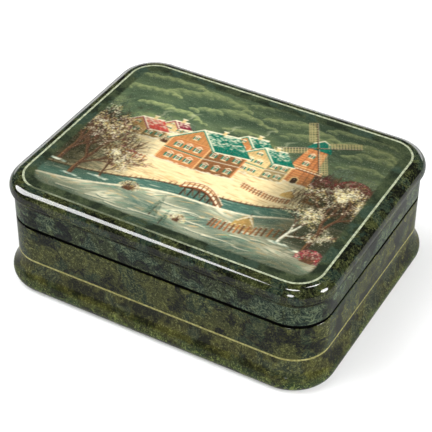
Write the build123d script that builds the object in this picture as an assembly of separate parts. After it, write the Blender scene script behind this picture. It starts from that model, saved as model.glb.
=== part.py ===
from build123d import *
import math
import os

# Lacquered papier-mache casket with a hinged lid.
# Millimetres. X runs along the long side, the front long side faces -Y, the hinge is at +Y, Z is up.
# The origin is the middle of the underside. Every band follows one outline, that of the outer wall:
# "out" is the distance out from the wall's face and "height" is measured from the table.

# Overall form
wall_length = 142.0
wall_width = 110.5
wall_corner_radius = 15.5
wall_thickness = 3.6
seam_height = 31.9
lid_height = 18.9

# Floor board and the sleeve that lines the box and stands proud as the lid's locating lip
floor_board_thickness = 3.0
sleeve_thickness = 1.4
lip_height = 3.0
lip_clearance = 0.25
lip_round = 0.5

# Flared plinth band: a long hollow cove under the gold line, then a round toe
crease_height = 15.1
plinth_flare = 3.0
plinth_widest_height = 4.8
plinth_toe_tuck = 2.7
plinth_toe_round = 0.6
band_let_in = 1.2

# Lid board and nosing, a full round edge that overhangs the wall and returns to it in a small cove
lid_overhang = 1.6
nosing_radius = 4.4
nosing_cove_radius = 1.6

# Rounded rims where the lid meets the box
rim_round = 0.5
rim_inner_round = 0.3

# Painted decoration, thin layers let into the lacquer
line_width = 0.9
line_depth = 0.15
line_rise = 0.03
lid_line_inset = 4.3
picture_margin = 3.0

# Barrel hinge at the middle of the back wall. The web is what the lid wall keeps in front of the barrel.
hinge_length = 44.0
knuckle_count = 5
knuckle_gap = 0.15
barrel_radius = 1.6
barrel_clearance = 0.25
barrel_web = 0.5
pin_radius = 0.75
pin_running_clearance = 0.05
pin_head_radius = 1.15
pin_head_thickness = 0.45
leaf_thickness = 0.5
rivet_radius = 0.6
rivet_clearance = 0.03
rivet_count = 3
rivet_edge_distance = 5.0
rivet_cover = 0.8

# Each leaf covers this share of the lid wall's plain height, and its rivets stand this far along the leaf
leaf_share = 0.77
rivet_share = 0.7

# The lid swings back until the bevels behind the hinge axis meet
opening_angle = 100.0
stop_angle_spare = 3.0

# How far a cutting body runs past what it cuts
overrun = 1.0

os.makedirs("parts", exist_ok=True)

back_face = wall_width / 2
total_height = seam_height + lid_height
board_underside = total_height - nosing_radius
lip_top = seam_height + lip_height
lid_wall_thickness = wall_thickness - lip_clearance
barrel_inset = lid_wall_thickness - barrel_web - barrel_clearance - barrel_radius
hinge_axis_y = back_face - barrel_inset
rim_bevel_angle = math.radians(opening_angle + stop_angle_spare) / 2

# The nosing's round meets its cove tangentially, and the cove meets the lid wall at the nosing's foot
nosing_center = Vector(lid_overhang - nosing_radius, board_underside)
nosing_reach = nosing_radius + nosing_cove_radius
nosing_foot = board_underside - math.sqrt(nosing_reach ** 2 - (nosing_cove_radius - nosing_center.X) ** 2)

leaf_reach = leaf_share * (nosing_foot - seam_height)
rivet_seam_distance = rivet_share * leaf_reach


def save(shape, name):
    shape.label = name
    export_step(shape, f"parts/{name}.step")


# Outline of the wall grown by a distance, as a flat face at a height
def outline_face(out, height=0.0):
    face = RectangleRounded(wall_length + 2 * out, wall_width + 2 * out, wall_corner_radius + out)
    return Pos(0, 0, height) * face


# A board of that outline
def board(out, bottom, top):
    return extrude(outline_face(out, bottom), amount=top - bottom)


# A closed band: the profile, drawn as (out, height), goes once round the wall's outline
def band(profile):
    path = outline_face(0).face().outer_wire()
    start = Plane(origin=path @ 0, x_dir=(-1, 0, 0), z_dir=(0, 1, 0))
    return sweep(start * profile, path=path)


def polygon(*points):
    return make_face(Polyline(*points, close=True))


def strip(inner, outer, bottom, top):
    return polygon((inner, bottom), (outer, bottom), (outer, top), (inner, top))


# The profile with its corner nearest to a point rounded
def rounded(profile, point, radius):
    corner = profile.vertices().sort_by_distance((*point, 0))[0]
    return fillet(corner, radius)


# The hinge line is parallel to X
def along_hinge(radius, length, x=0.0):
    return Pos(x, hinge_axis_y, seam_height) * Cylinder(radius, length, rotation=(0, 90, 0))


# Rims are cut back behind the hinge axis, downwards on the box (side -1) and upwards on the lid (side 1)
def rim_bevel(side):
    reach = barrel_inset + overrun
    drop = side * reach * math.tan(rim_bevel_angle)
    across = Plane(origin=(0, hinge_axis_y, seam_height), x_dir=(0, 1, 0), z_dir=(1, 0, 0))
    wedge = across * polygon((0, 0), (reach, 0), (reach, drop))
    return extrude(wedge, amount=wall_length / 2 + overrun, both=True)


# Room for the barrel in both rims
pin_length = hinge_length + 2 * pin_head_thickness
barrel_room = along_hinge(barrel_radius + barrel_clearance, pin_length + 2 * barrel_clearance)


# The leaf of one side is a plate on the hinge line, with a row of rivets through it
def leaf_plate(side):
    middle = seam_height + side * leaf_reach / 2
    return Pos(0, hinge_axis_y, middle) * Box(hinge_length, leaf_thickness, leaf_reach)


def rivet_row(side, radius, inner_face):
    outer_end = back_face - rivet_cover
    length = outer_end - inner_face
    span = hinge_length - 2 * rivet_edge_distance
    height = seam_height + side * rivet_seam_distance
    row = []
    for index in range(rivet_count):
        x = -span / 2 + index * span / (rivet_count - 1)
        place = Pos(x, inner_face + length / 2, height)
        row.append(place * Cylinder(radius, length, rotation=(90, 0, 0)))
    return row


# Knuckles are shared out in turn: the box has the outer ones
knuckle_length = (hinge_length - (knuckle_count - 1) * knuckle_gap) / knuckle_count
knuckle_pitch = knuckle_length + knuckle_gap


def knuckle_places(side):
    first = 0 if side < 0 else 1
    start = -hinge_length / 2 + knuckle_length / 2
    return [start + index * knuckle_pitch for index in range(first, knuckle_count, 2)]


def hinge_leaf(side, inner_face):
    leaf = leaf_plate(side)
    for x in knuckle_places(-side):
        leaf -= along_hinge(barrel_radius + barrel_clearance, knuckle_length + 2 * knuckle_gap, x)
    for x in knuckle_places(side):
        leaf += along_hinge(barrel_radius, knuckle_length, x)
    leaf -= along_hinge(pin_radius + pin_running_clearance, hinge_length + 2 * overrun)
    for hole in rivet_row(side, rivet_radius + rivet_clearance, inner_face):
        leaf -= hole
    return leaf


# What the hinge takes out of a wall on its side
def cut_for_hinge(wall, side, inner_face):
    wall -= rim_bevel(side)
    wall -= barrel_room
    wall -= leaf_plate(side)
    for hole in rivet_row(side, rivet_radius + rivet_clearance, inner_face - overrun):
        wall -= hole
    return wall


box_wall_inner = back_face - wall_thickness
lid_wall_inner = back_face - lid_wall_thickness

# Floor board, inside the foot of the plinth band
save(board(-band_let_in, 0, floor_board_thickness), "floor_board")

# Box wall: a wound tube, turned down where the plinth band goes round it, with a groove for the gold line
line_top = crease_height + line_width
wall_profile = polygon(
    (-wall_thickness, floor_board_thickness),
    (-band_let_in, floor_board_thickness),
    (-band_let_in, crease_height),
    (-line_depth, crease_height),
    (-line_depth, line_top),
    (0, line_top),
    (0, seam_height),
    (-wall_thickness, seam_height),
)
wall_profile = rounded(wall_profile, (0, seam_height), rim_round)
save(cut_for_hinge(band(wall_profile), -1, box_wall_inner), "box_wall")

# Plinth band. The roll's radius follows from how far the toe tucks in under the widest height. The cove
# is tangent to the wall at the crease and to the roll, which gives its radius.
toe_out = plinth_flare - plinth_toe_tuck
roll_radius = (plinth_widest_height ** 2 / plinth_toe_tuck + plinth_toe_tuck) / 2
drop_to_widest = crease_height - plinth_widest_height
radii_sum = (drop_to_widest ** 2 / plinth_flare + plinth_flare) / 2
cove_radius = radii_sum - roll_radius
roll_center = Vector(plinth_flare - roll_radius, plinth_widest_height)
cove_center = Vector(cove_radius, crease_height)
roll_meets_cove = roll_center + (cove_center - roll_center) * (roll_radius / radii_sum)
plinth_profile = make_face(
    [
        Line((-band_let_in, 0), (toe_out, 0)),
        ThreePointArc((toe_out, 0), (plinth_flare, plinth_widest_height), roll_meets_cove),
        TangentArc((0, crease_height), roll_meets_cove, tangent=(0, -1)),
        Line((0, crease_height), (-band_let_in, crease_height)),
        Line((-band_let_in, crease_height), (-band_let_in, 0)),
    ]
)
plinth_profile = rounded(plinth_profile, (toe_out, 0), plinth_toe_round)
save(band(plinth_profile), "plinth_band")

# Gold line round the crease, on top of the plinth band
save(band(strip(-line_depth, line_rise, crease_height, line_top)), "plinth_gold_line")

# Sleeve, from the floor board to the top of the lip
sleeve_inner = -wall_thickness - sleeve_thickness
sleeve_profile = strip(sleeve_inner, -wall_thickness, floor_board_thickness, lip_top)
sleeve_profile = rounded(sleeve_profile, (-wall_thickness, lip_top), lip_round)
sleeve_profile = rounded(sleeve_profile, (sleeve_inner, lip_top), lip_round)
save(band(sleeve_profile), "lip_sleeve")

# Lid wall: clears the lip, and is turned down where the nosing goes round it
lid_wall_profile = polygon(
    (-lid_wall_thickness, seam_height),
    (0, seam_height),
    (0, nosing_foot),
    (-band_let_in, nosing_foot),
    (-band_let_in, board_underside),
    (-lid_wall_thickness, board_underside),
)
lid_wall_profile = rounded(lid_wall_profile, (0, seam_height), rim_round)
lid_wall_profile = rounded(lid_wall_profile, (-lid_wall_thickness, seam_height), rim_inner_round)
save(cut_for_hinge(band(lid_wall_profile), 1, lid_wall_inner), "lid_wall")

# Nosing band: the lower half of the lid's full round edge, and the cove that returns it to the wall
nosing_cove_center = Vector(nosing_cove_radius, nosing_foot)
cove_meets_nosing = nosing_center + (nosing_cove_center - nosing_center) * (nosing_radius / nosing_reach)
nosing_profile = make_face(
    [
        TangentArc((lid_overhang, board_underside), cove_meets_nosing, tangent=(0, -1)),
        TangentArc((0, nosing_foot), cove_meets_nosing, tangent=(0, 1)),
        Line((0, nosing_foot), (-band_let_in, nosing_foot)),
        Line((-band_let_in, nosing_foot), (-band_let_in, board_underside)),
        Line((-band_let_in, board_underside), (lid_overhang, board_underside)),
    ]
)
save(band(nosing_profile), "nosing_band")

# Lid board: its edge is the upper half of the round
edge_profile = make_face(
    [
        TangentArc((lid_overhang, board_underside), (nosing_center.X, total_height), tangent=(0, 1)),
        Line((nosing_center.X, total_height), (nosing_center.X, board_underside)),
        Line((nosing_center.X, board_underside), (lid_overhang, board_underside)),
    ]
)
line_outer = -lid_line_inset + line_width / 2
line_inner = line_outer - line_width
picture_edge = line_inner - picture_margin
line_groove = strip(line_inner, line_outer, total_height - line_depth, total_height + overrun)
lid_board = board(nosing_center.X, board_underside, total_height) + band(edge_profile)
lid_board -= band(line_groove)
lid_board -= board(picture_edge, total_height - line_depth, total_height + overrun)
save(lid_board, "lid_board")

# Decoration of the lid: the gold line and the field that holds the picture
line_surface = total_height + line_rise
save(band(strip(line_inner, line_outer, total_height - line_depth, line_surface)), "lid_gold_line")
save(board(picture_edge, total_height - line_depth, total_height), "picture_field")

# Hinge
save(hinge_leaf(-1, box_wall_inner), "hinge_leaf_box")
save(hinge_leaf(1, lid_wall_inner), "hinge_leaf_lid")
hinge_pin = along_hinge(pin_radius, hinge_length)
for end in (-1, 1):
    head_middle = end * (hinge_length + pin_head_thickness) / 2
    hinge_pin += along_hinge(pin_head_radius, pin_head_thickness, head_middle)
save(hinge_pin, "hinge_pin")
save(Compound(children=rivet_row(-1, rivet_radius, box_wall_inner)), "hinge_rivets_box")
save(Compound(children=rivet_row(1, rivet_radius, lid_wall_inner)), "hinge_rivets_lid")

print("overall", wall_length + 2 * plinth_flare, wall_width + 2 * plinth_flare, total_height)
print("cove radius", cove_radius, "nosing foot", nosing_foot, "toe out", toe_out)
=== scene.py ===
import math
import bpy
import bmesh
import numpy as np
from mathutils import Matrix, Quaternion, Vector


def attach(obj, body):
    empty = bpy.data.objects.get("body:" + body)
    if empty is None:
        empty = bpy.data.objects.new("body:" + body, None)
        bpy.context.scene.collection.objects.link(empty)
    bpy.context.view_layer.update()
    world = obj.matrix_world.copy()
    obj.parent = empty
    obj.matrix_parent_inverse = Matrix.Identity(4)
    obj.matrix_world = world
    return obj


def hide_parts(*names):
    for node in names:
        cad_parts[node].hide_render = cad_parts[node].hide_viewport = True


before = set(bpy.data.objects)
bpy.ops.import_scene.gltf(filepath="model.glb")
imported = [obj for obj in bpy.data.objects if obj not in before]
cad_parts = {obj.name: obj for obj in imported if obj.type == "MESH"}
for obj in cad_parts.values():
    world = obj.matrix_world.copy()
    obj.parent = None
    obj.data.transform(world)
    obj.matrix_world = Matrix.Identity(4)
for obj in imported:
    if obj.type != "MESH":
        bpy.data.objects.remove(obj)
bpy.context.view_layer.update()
mm = 0.001
print("stage: frame loaded")

# Sizes are in millimetres. "out" is measured outwards from the wall's outer face,
# and heights are from the table.
outline = {"length": 142.0, "width": 110.5, "cornerRadius": 15.5, "cornerSteps": 36}
levels = {"floorTop": 3.0, "crease": 15.1, "seam": 31.9, "lipTop": 34.9, "lidUnder": 46.4, "top": 50.8}
hinge = {"axisY": 54.25, "axisZ": 31.9, "roomRadius": 1.85, "roomLength": 45.4, "leafLength": 44.0,
         "leafThickness": 0.5, "leafReach": 8.024, "rivetRadius": 0.63, "rivetPitch": 17.0,
         "rivetFromSeam": 5.617, "rivetOuterEnd": 54.45, "bevelDegrees": 51.5}


# Materials

def linear(v):
    return np.where(v <= 0.04045, v / 12.92, ((v + 0.055) / 1.055) ** 2.4)


def srgb(r, g, b):
    # a colour given 0 to 255, as Blender's linear value
    return tuple(float(linear(v / 255)) for v in (r, g, b)) + (1.0,)


socketNames = {"color": "Base Color", "rough": "Roughness", "metal": "Metallic",
               "spec": "Specular IOR Level", "coat": "Coat Weight",
               "coatRough": "Coat Roughness", "coatNormal": "Coat Normal", "normal": "Normal",
               "ior": "IOR", "coatIor": "Coat IOR"}
white = (1.0, 1.0, 1.0, 1.0)


# A short hand for building any node tree
class Nodes:
    def __init__(self, tree):
        self.tree = tree

    def add(self, kind, settings=None):
        made = self.tree.nodes.new(kind)
        for label, value in (settings or {}).items():
            setattr(made, label, value)
        return made

    def link(self, a, b):
        self.tree.links.new(a, b)

    def feed(self, value, socket):
        # a number or colour is set on the socket, anything else is linked to it
        if isinstance(value, (int, float, tuple)):
            socket.default_value = value
        else:
            self.link(value, socket)

    def node(self, kind, output, settings=None, **inputs):
        made = self.add(kind, settings)
        for label, value in inputs.items():
            self.feed(value, made.inputs[label])
        return made.outputs[output]

    def inOrder(self, kind, *values, **settings):
        # the values go to the node's sockets from the first on
        made = self.add(kind, settings)
        for value, socket in zip(values, made.inputs):
            self.feed(value, socket)
        return made

    def math(self, kind, a, b=0.0):
        return self.inOrder("ShaderNodeMath", a, b, operation=kind).outputs["Value"]

    def times(self, a, b):
        return self.math("MULTIPLY", a, b)


def ownTree(owner):
    # the node tree of a material or the world, emptied
    owner.use_nodes = True
    owner.node_tree.nodes.clear()
    return owner.node_tree


# One lacquer, paint or metal, placed by the piece's own coordinates
class Shader(Nodes):
    def __init__(self, name):
        self.mat = bpy.data.materials.new(name)
        super().__init__(ownTree(self.mat))
        self.bsdf = self.add("ShaderNodeBsdfPrincipled")
        self.inOrder("ShaderNodeOutputMaterial", self.bsdf.outputs["BSDF"])
        self.coords = self.node("ShaderNodeTexCoord", "Object")

    def mapping(self, scale=(1, 1, 1), offset=(0, 0, 0), source=None):
        return self.node("ShaderNodeMapping", "Vector", Scale=scale, Location=offset,
                         Vector=source or self.coords)

    def noise(self, vector, scale, detail=4.0, rough=0.55, distort=0.0, output="Fac"):
        return self.node("ShaderNodeTexNoise", output, Scale=scale, Detail=detail, Roughness=rough,
                         Distortion=distort, Vector=vector)

    def cells(self, vector, scale):
        return self.node("ShaderNodeTexVoronoi", "Distance", Scale=scale, Vector=vector)

    def warp(self, vector, scale, amount):
        clouds = self.noise(vector, scale, 2.0, 0.5, output="Color")
        return self.inOrder("ShaderNodeVectorMath", clouds, (amount, amount, amount), vector,
                            operation="MULTIPLY_ADD").outputs["Vector"]

    def step(self, value, low, high, toLow=0.0, toHigh=1.0):
        # a smooth step from toLow to toHigh while the value goes from low to high
        ends = {"From Min": low, "From Max": high, "To Min": toLow, "To Max": toHigh}
        return self.node("ShaderNodeMapRange", "Result", {"interpolation_type": "SMOOTHSTEP"},
                         Value=value, **ends)

    def mix(self, factor, a, b):
        made = self.add("ShaderNodeMix", {"data_type": "RGBA"})
        for value, k in ((factor, 0), (a, 6), (b, 7)):  # 6 and 7 are the colour sockets A and B
            self.feed(value, made.inputs[k])
        return made.outputs[2]

    def axis(self, which):
        return self.node("ShaderNodeSeparateXYZ", which, Vector=self.coords)

    def bump(self, height, strength, distance):
        return self.node("ShaderNodeBump", "Normal", Strength=strength, Distance=distance, Height=height)

    def set(self, **values):
        for label, value in values.items():
            self.feed(value, self.bsdf.inputs[socketNames[label]])


# Sponged lacquer: a black green ground, then olive, slate and bright green daubs with ragged edges
def marbledColor(s, look):
    place = s.warp(s.mapping(offset=look["offset"]), look["patch"] * 0.8, look["drift"])
    place = s.warp(place, look["speck"] * 0.5, look["ragged"])

    def spots(offset, size, *how):
        return s.noise(s.mapping(offset=offset, source=place), size, *how)
    cloud = s.noise(place, look["patch"], 6.0, 0.58)
    cool = spots((0.31, 0.77, 0.13), look["patch"] * 0.8, 6.0, 0.58)
    daub = spots((0.9, 0.2, 0.5), look["daub"], 5.0, 0.72, 0.5)
    speck = spots((0.4, 0.6, 0.8), look["speck"], 3.0, 0.75, 0.4)
    color = s.mix(s.step(cloud, *look["oliveRange"]), look["ground"], look["olive"])
    color = s.mix(s.step(cool, *look["coolRange"]), color, look["cool"])
    daubs = s.times(s.step(daub, 0.53, 0.61, 0.0, look["daubStrength"]),
                    s.step(cloud, 0.42, 0.54, 0.4, 1.0))
    color = s.mix(daubs, color, look["bright"])
    color = s.mix(s.step(daub, 0.39, 0.47, look["darkStrength"], 0.0), color, look["ground"])
    grains = s.times(s.step(speck, 0.55, 0.64), s.step(cloud, 0.4, 0.56, 0.3, 1.0))
    color = s.mix(s.times(grains, look["speckStrength"]), color, look["fleck"])
    pits = s.times(s.step(speck, 0.36, 0.45, 1.0, 0.0), look["pitStrength"])
    color = s.mix(pits, color, look["ground"])
    curl = spots((0.7, 0.1, 0.3), look["curl"], 2.0, 0.5, 0.8)
    thread = s.step(s.math("ABSOLUTE", s.math("SUBTRACT", curl, 0.5)),
                    0.004, 0.022, look["threadStrength"], 0.0)
    color = s.mix(s.times(thread, s.step(cool, 0.42, 0.56)), color, look["fleck"])
    bloom = s.cells(s.mapping(offset=(0.2, 0.5, 0.9), source=place), look["bloom"])
    rings = s.step(s.math("SINE", s.times(bloom, 40.0)), 0.1, 0.8)
    petals = s.times(s.times(rings, s.step(daub, 0.42, 0.56)), s.step(cool, 0.47, 0.53))
    return s.mix(s.times(petals, look["bloomStrength"]), color, look["petal"])


def lacquer(name, look):
    s = Shader(name)
    color = marbledColor(s, look)
    if "lowLook" in look:
        height = s.math("ADD", s.axis("Z"), s.times(s.noise(s.coords, 160.0), 0.004))
        low = s.step(height, look["lowFrom"] * mm, look["lowTo"] * mm, 1.0, 0.0)
        color = s.mix(low, color, marbledColor(s, look["lowLook"]))
    combed = s.noise(s.mapping(scale=(18, 18, 1500)), 1.0, 3.0, 0.6)
    orange = s.noise(s.coords, 260.0, 2.0, 0.5)
    s.set(color=color, spec=0.0, coat=look["coat"], coatRough=look["coatRough"], ior=1.0, coatIor=1.4,
          rough=s.step(combed, 0.35, 0.65, 0.3, 0.45), normal=s.bump(combed, 0.12, 0.00005),
          coatNormal=s.bump(orange, 0.02, 0.0001))
    return s.mat


wallTones = {"offset": (0.2, 0.1, 0.3), "patch": 90.0, "daub": 300.0, "speck": 1250.0, "curl": 240.0,
             "drift": 0.008, "ragged": 0.0012,
             "ground": srgb(5, 9, 4), "olive": srgb(47, 50, 23), "cool": srgb(25, 37, 25),
             "bright": srgb(88, 89, 42), "fleck": srgb(124, 126, 74),
             "oliveRange": (0.43, 0.52), "coolRange": (0.52, 0.57), "daubStrength": 0.45,
             "darkStrength": 0.6, "speckStrength": 0.5, "pitStrength": 0.6, "threadStrength": 0.12,
             "bloom": 170.0, "bloomStrength": 0.12, "petal": srgb(96, 104, 74),
             "coat": 0.34, "coatRough": 0.06}
lidWallTones = dict(wallTones, offset=(0.7, 0.5, 0.1), patch=115.0, daub=330.0,
                    ground=srgb(4, 9, 7), olive=srgb(36, 43, 25), cool=srgb(28, 42, 34),
                    bright=srgb(74, 84, 54), fleck=srgb(112, 122, 88), coolRange=(0.46, 0.55),
                    daubStrength=0.5, threadStrength=0.3, bloomStrength=0.4, petal=srgb(104, 116, 88))
nosingTones = dict(wallTones, offset=(0.15, 0.85, 0.4), patch=110.0, daub=560.0, speck=1500.0, curl=420.0,
                   drift=0.005, ragged=0.0006, ground=srgb(5, 8, 4), olive=srgb(38, 43, 20),
                   cool=srgb(27, 40, 32), bright=srgb(80, 85, 46), fleck=srgb(122, 126, 84),
                   oliveRange=(0.42, 0.58), daubStrength=0.5, darkStrength=0.8, speckStrength=0.4,
                   pitStrength=0.55, bloomStrength=0.0, coat=0.6, coatRough=0.055)
marginTones = dict(nosingTones, offset=(0.33, 0.12, 0.8), ground=srgb(28, 36, 25), olive=srgb(51, 60, 40),
                   cool=srgb(43, 58, 47), bright=srgb(74, 83, 54), fleck=srgb(96, 106, 76),
                   daubStrength=0.3, darkStrength=0.5, speckStrength=0.25, pitStrength=0.3)
plinthLowTones = dict(nosingTones, offset=(0.6, 0.3, 0.9), ground=srgb(4, 9, 3), olive=srgb(44, 56, 20),
                      cool=srgb(26, 46, 22), bright=srgb(102, 114, 52), fleck=srgb(150, 160, 92),
                      daub=430.0, daubStrength=0.75, darkStrength=0.85, speckStrength=0.7, pitStrength=0.7)
plinthTones = dict(wallTones, offset=(0.45, 0.65, 0.2), ground=srgb(19, 21, 12), olive=srgb(52, 52, 25),
                   cool=srgb(38, 44, 32), coatRough=0.05, lowFrom=5.0, lowTo=11.0, lowLook=plinthLowTones)

wallLacquer = lacquer("wallLacquer", wallTones)
lidWallLacquer = lacquer("lidWallLacquer", lidWallTones)
nosingLacquer = lacquer("nosingLacquer", nosingTones)
marginLacquer = lacquer("marginLacquer", marginTones)
bandLacquer = lacquer("bandLacquer", dict(nosingTones, coat=0.28))
plinthLacquer = lacquer("plinthLacquer", plinthTones)


def blackLacquer():
    s = Shader("blackLacquer")
    worn = s.noise(s.coords, 140.0, 4.0, 0.6)
    color = s.mix(s.step(worn, 0.35, 0.75), srgb(9, 10, 9), srgb(26, 26, 22))
    s.set(color=color, rough=s.step(worn, 0.3, 0.7, 0.25, 0.4), spec=0.3, coat=0.8, coatRough=0.1,
          normal=s.bump(s.noise(s.coords, 500.0, 3.0), 0.1, 0.00005))
    return s.mat


def seamBlackAndShade():
    # black for the rim faces inside the seam, and painted shade where the roundings beside it turn into the
    # seam, so the seam shows as a dark line
    s = Shader("seamBlackAndShade")
    fibre = s.noise(s.mapping(scale=(1, 1, 3)), 900.0, 4.0, 0.6)
    s.set(color=s.mix(s.step(fibre, 0.4, 0.7), srgb(3, 3, 3), srgb(8, 8, 7)), rough=0.85, spec=0.0, ior=1.0,
          normal=s.bump(fibre, 0.2, 0.00004))
    return s.mat


def redLacquer():
    s = Shader("redLacquer")
    brushed = s.noise(s.mapping(scale=(40, 900, 120)), 1.0, 4.0, 0.6)
    cloud = s.noise(s.coords, 45.0, 4.0, 0.6)
    color = s.mix(s.step(cloud, 0.3, 0.7), srgb(142, 22, 13), srgb(154, 28, 16))
    color = s.mix(s.step(brushed, 0.45, 0.75, 0.0, 0.3), color, srgb(112, 15, 10))
    s.set(color=color, rough=s.step(cloud, 0.3, 0.7, 0.28, 0.4), spec=0.3, coat=1.0, coatRough=0.08,
          normal=s.bump(brushed, 0.15, 0.00006))
    return s.mat


def goldPaint(name, deep, pale, metal, worn=None):
    s = Shader(name)
    laid = s.noise(s.coords, 900.0, 4.0, 0.65)
    thin = s.noise(s.coords, 130.0, 3.0, 0.6)
    color = s.mix(s.step(laid, 0.35, 0.65), deep, pale)
    color = s.mix(s.step(thin, 0.56, 0.74, 0.0, 0.45), color, deep)
    if worn:
        # painted shade along the front run of the line, up to a little right of the middle, broken up by the
        # thin-paint noise
        front = s.times(s.step(s.axis("Y"), -0.0507, -0.0502, 1.0, 0.0),
                        s.step(s.axis("X"), -0.010, 0.045, 1.0, 0.0))
        color = s.mix(s.times(front, s.step(thin, 0.3, 0.7, 0.55, 0.85)), color, worn)
    s.set(color=color, metal=metal, rough=s.step(laid, 0.3, 0.7, 0.32, 0.5),
          coat=0.3, coatRough=0.05, ior=1.0, normal=s.bump(laid, 0.25, 0.00004))
    return s.mat


def brass():
    s = Shader("hingeBrass")
    drawn = s.noise(s.mapping(scale=(60, 1400, 1400)), 1.0, 3.0, 0.6)
    tarnish = s.noise(s.coords, 260.0, 5.0, 0.65)
    color = s.mix(s.step(tarnish, 0.42, 0.72), srgb(206, 168, 92), srgb(142, 104, 52))
    s.set(color=color, metal=1.0, rough=s.step(tarnish, 0.35, 0.7, 0.22, 0.42),
          normal=s.bump(drawn, 0.2, 0.00004))
    return s.mat


black = blackLacquer()
# the seam's black, also painted as shade on the roundings either side of the seam
rimBlackAndShade = seamBlackAndShade()
red = redLacquer()
# the last colour is the painted shade on the front run of the lid's line
lidGold = goldPaint("lidGold", srgb(120, 126, 99), srgb(164, 170, 144), 0.05, srgb(54, 62, 40))
plinthGold = goldPaint("plinthGold", srgb(112, 108, 58), srgb(148, 144, 92), 0.05)
hingeBrass = brass()
print("stage: materials made")


# Geometry Nodes: a profile goes once round the box's outline

sweepInputs = (("Length", "NodeSocketFloat", outline["length"] * mm),
               ("Width", "NodeSocketFloat", outline["width"] * mm),
               ("Corner Radius", "NodeSocketFloat", outline["cornerRadius"] * mm),
               ("Corner Steps", "NodeSocketInt", outline["cornerSteps"]),
               ("Hand Waver", "NodeSocketFloat", 0.0),
               ("Waver Size", "NodeSocketFloat", 90.0),
               ("Waver Seed", "NodeSocketFloat", 3.0),
               ("Profile", "NodeSocketObject", None),
               ("Finish", "NodeSocketMaterial", None))


def outlineSweepTree():
    tree = bpy.data.node_groups.new("outlineSweep", "GeometryNodeTree")
    face = tree.interface
    face.new_socket("Geometry", in_out="INPUT", socket_type="NodeSocketGeometry")
    sockets = {}
    for label, kind, value in sweepInputs:
        socket = face.new_socket(label, in_out="INPUT", socket_type=kind)
        if value is not None:
            socket.default_value = value
        sockets[label] = socket.identifier
    face.new_socket("Geometry", in_out="OUTPUT", socket_type="NodeSocketGeometry")
    n = Nodes(tree)
    given = n.add("NodeGroupInput").outputs
    path = n.node("GeometryNodeCurvePrimitiveQuadrilateral", "Curve", {"mode": "RECTANGLE"},
                  Width=given["Length"], Height=given["Width"])
    path = n.node("GeometryNodeFilletCurve", "Curve", {"mode": "POLY"}, Curve=path,
                  Count=given["Corner Steps"], Radius=given["Corner Radius"])
    path = n.node("GeometryNodeSetCurveNormal", "Curve", {"mode": "Z_UP"}, Curve=path)
    # the hand's waver makes the profile a little larger and smaller along the way
    waver = n.node("ShaderNodeTexNoise", 0, {"noise_dimensions": "4D"}, Scale=given["Waver Size"],
                   Vector=n.node("GeometryNodeInputPosition", "Position"), W=given["Waver Seed"])
    size = n.inOrder("ShaderNodeMath", n.math("SUBTRACT", waver, 0.5), given["Hand Waver"], 1.0,
                     operation="MULTIPLY_ADD").outputs[0]
    path = n.node("GeometryNodeSetCurveRadius", "Curve", Curve=path, Radius=size)
    profile = n.node("GeometryNodeObjectInfo", "Geometry", Object=given["Profile"])
    swept = n.node("GeometryNodeCurveToMesh", "Mesh", Curve=path, **{"Profile Curve": profile})
    swept = n.node("GeometryNodeRealizeInstances", "Geometry", Geometry=swept)
    swept = n.node("GeometryNodeSetMaterial", "Geometry", Geometry=swept, Material=given["Finish"])
    n.inOrder("NodeGroupOutput", swept)
    return tree, sockets


sweepTree, sweepSockets = outlineSweepTree()


def addObject(name, data):
    made = bpy.data.objects.new(name, data)
    bpy.context.scene.collection.objects.link(made)
    return made


def profileCurve(points, closed):
    curve = bpy.data.curves.new("profile", "CURVE")
    curve.dimensions = "3D"
    spline = curve.splines.new("POLY")
    spline.points.add(len(points) - 1)
    for point, (out, height) in zip(spline.points, points):
        point.co = (out * mm, -height * mm, 0, 1)  # a profile's Y turns downwards on this path
    spline.use_cyclic_u = closed
    return addObject("profile", curve)


def meshOf(carrier):
    bpy.context.view_layer.update()
    graph = bpy.context.evaluated_depsgraph_get()
    return bpy.data.meshes.new_from_object(carrier.evaluated_get(graph), depsgraph=graph)


sweepNames = {"waver": "Hand Waver", "waverSize": "Waver Size", "seed": "Waver Seed",
              "length": "Length", "width": "Width", "radius": "Corner Radius"}


def sweptRun(points, finish, closed=False, **sizes):
    carrier = addObject("carrier", bpy.data.meshes.new("carrier"))
    profile = profileCurve(points, closed)
    sweep = carrier.modifiers.new("sweep", "NODES")
    sweep.node_group = sweepTree
    sweep[sweepSockets["Profile"]] = profile
    sweep[sweepSockets["Finish"]] = finish
    for label, value in sizes.items():
        sweep[sweepSockets[sweepNames[label]]] = value
    mesh = meshOf(carrier)
    bpy.data.objects.remove(carrier)
    bpy.data.objects.remove(profile)
    return mesh


def laid(points, finish):
    # a run with its finish, as joinRuns takes them
    return sweptRun(points, finish), finish


weld = 1e-6  # metres


# Joins the runs of one piece, each a mesh and its finish. Closes what is open at flat
# ends and turns the faces outwards.
def joinRuns(name, runs, caps=()):
    finishes = []
    bm = bmesh.new()
    for mesh, finish in runs:
        if finish not in finishes:
            finishes.append(finish)
        first = len(bm.faces)
        bm.from_mesh(mesh)
        bm.faces.ensure_lookup_table()
        for face in bm.faces[first:]:
            face.material_index = finishes.index(finish)
    bmesh.ops.remove_doubles(bm, verts=bm.verts, dist=weld)
    for height, finish in caps:
        if finish not in finishes:
            finishes.append(finish)
        rim = [e for e in bm.edges
               if e.is_boundary and all(abs(v.co.z - height * mm) < weld for v in e.verts)]
        made = bmesh.ops.contextual_create(bm, geom=rim)
        for face in made["faces"]:
            face.material_index = finishes.index(finish)
    bmesh.ops.recalc_face_normals(bm, faces=bm.faces)
    for face in bm.faces:
        face.smooth = True
    mesh = bpy.data.meshes.new(name)
    bm.to_mesh(mesh)
    bm.free()
    for finish in finishes:
        mesh.materials.append(finish)
    return mesh


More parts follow.
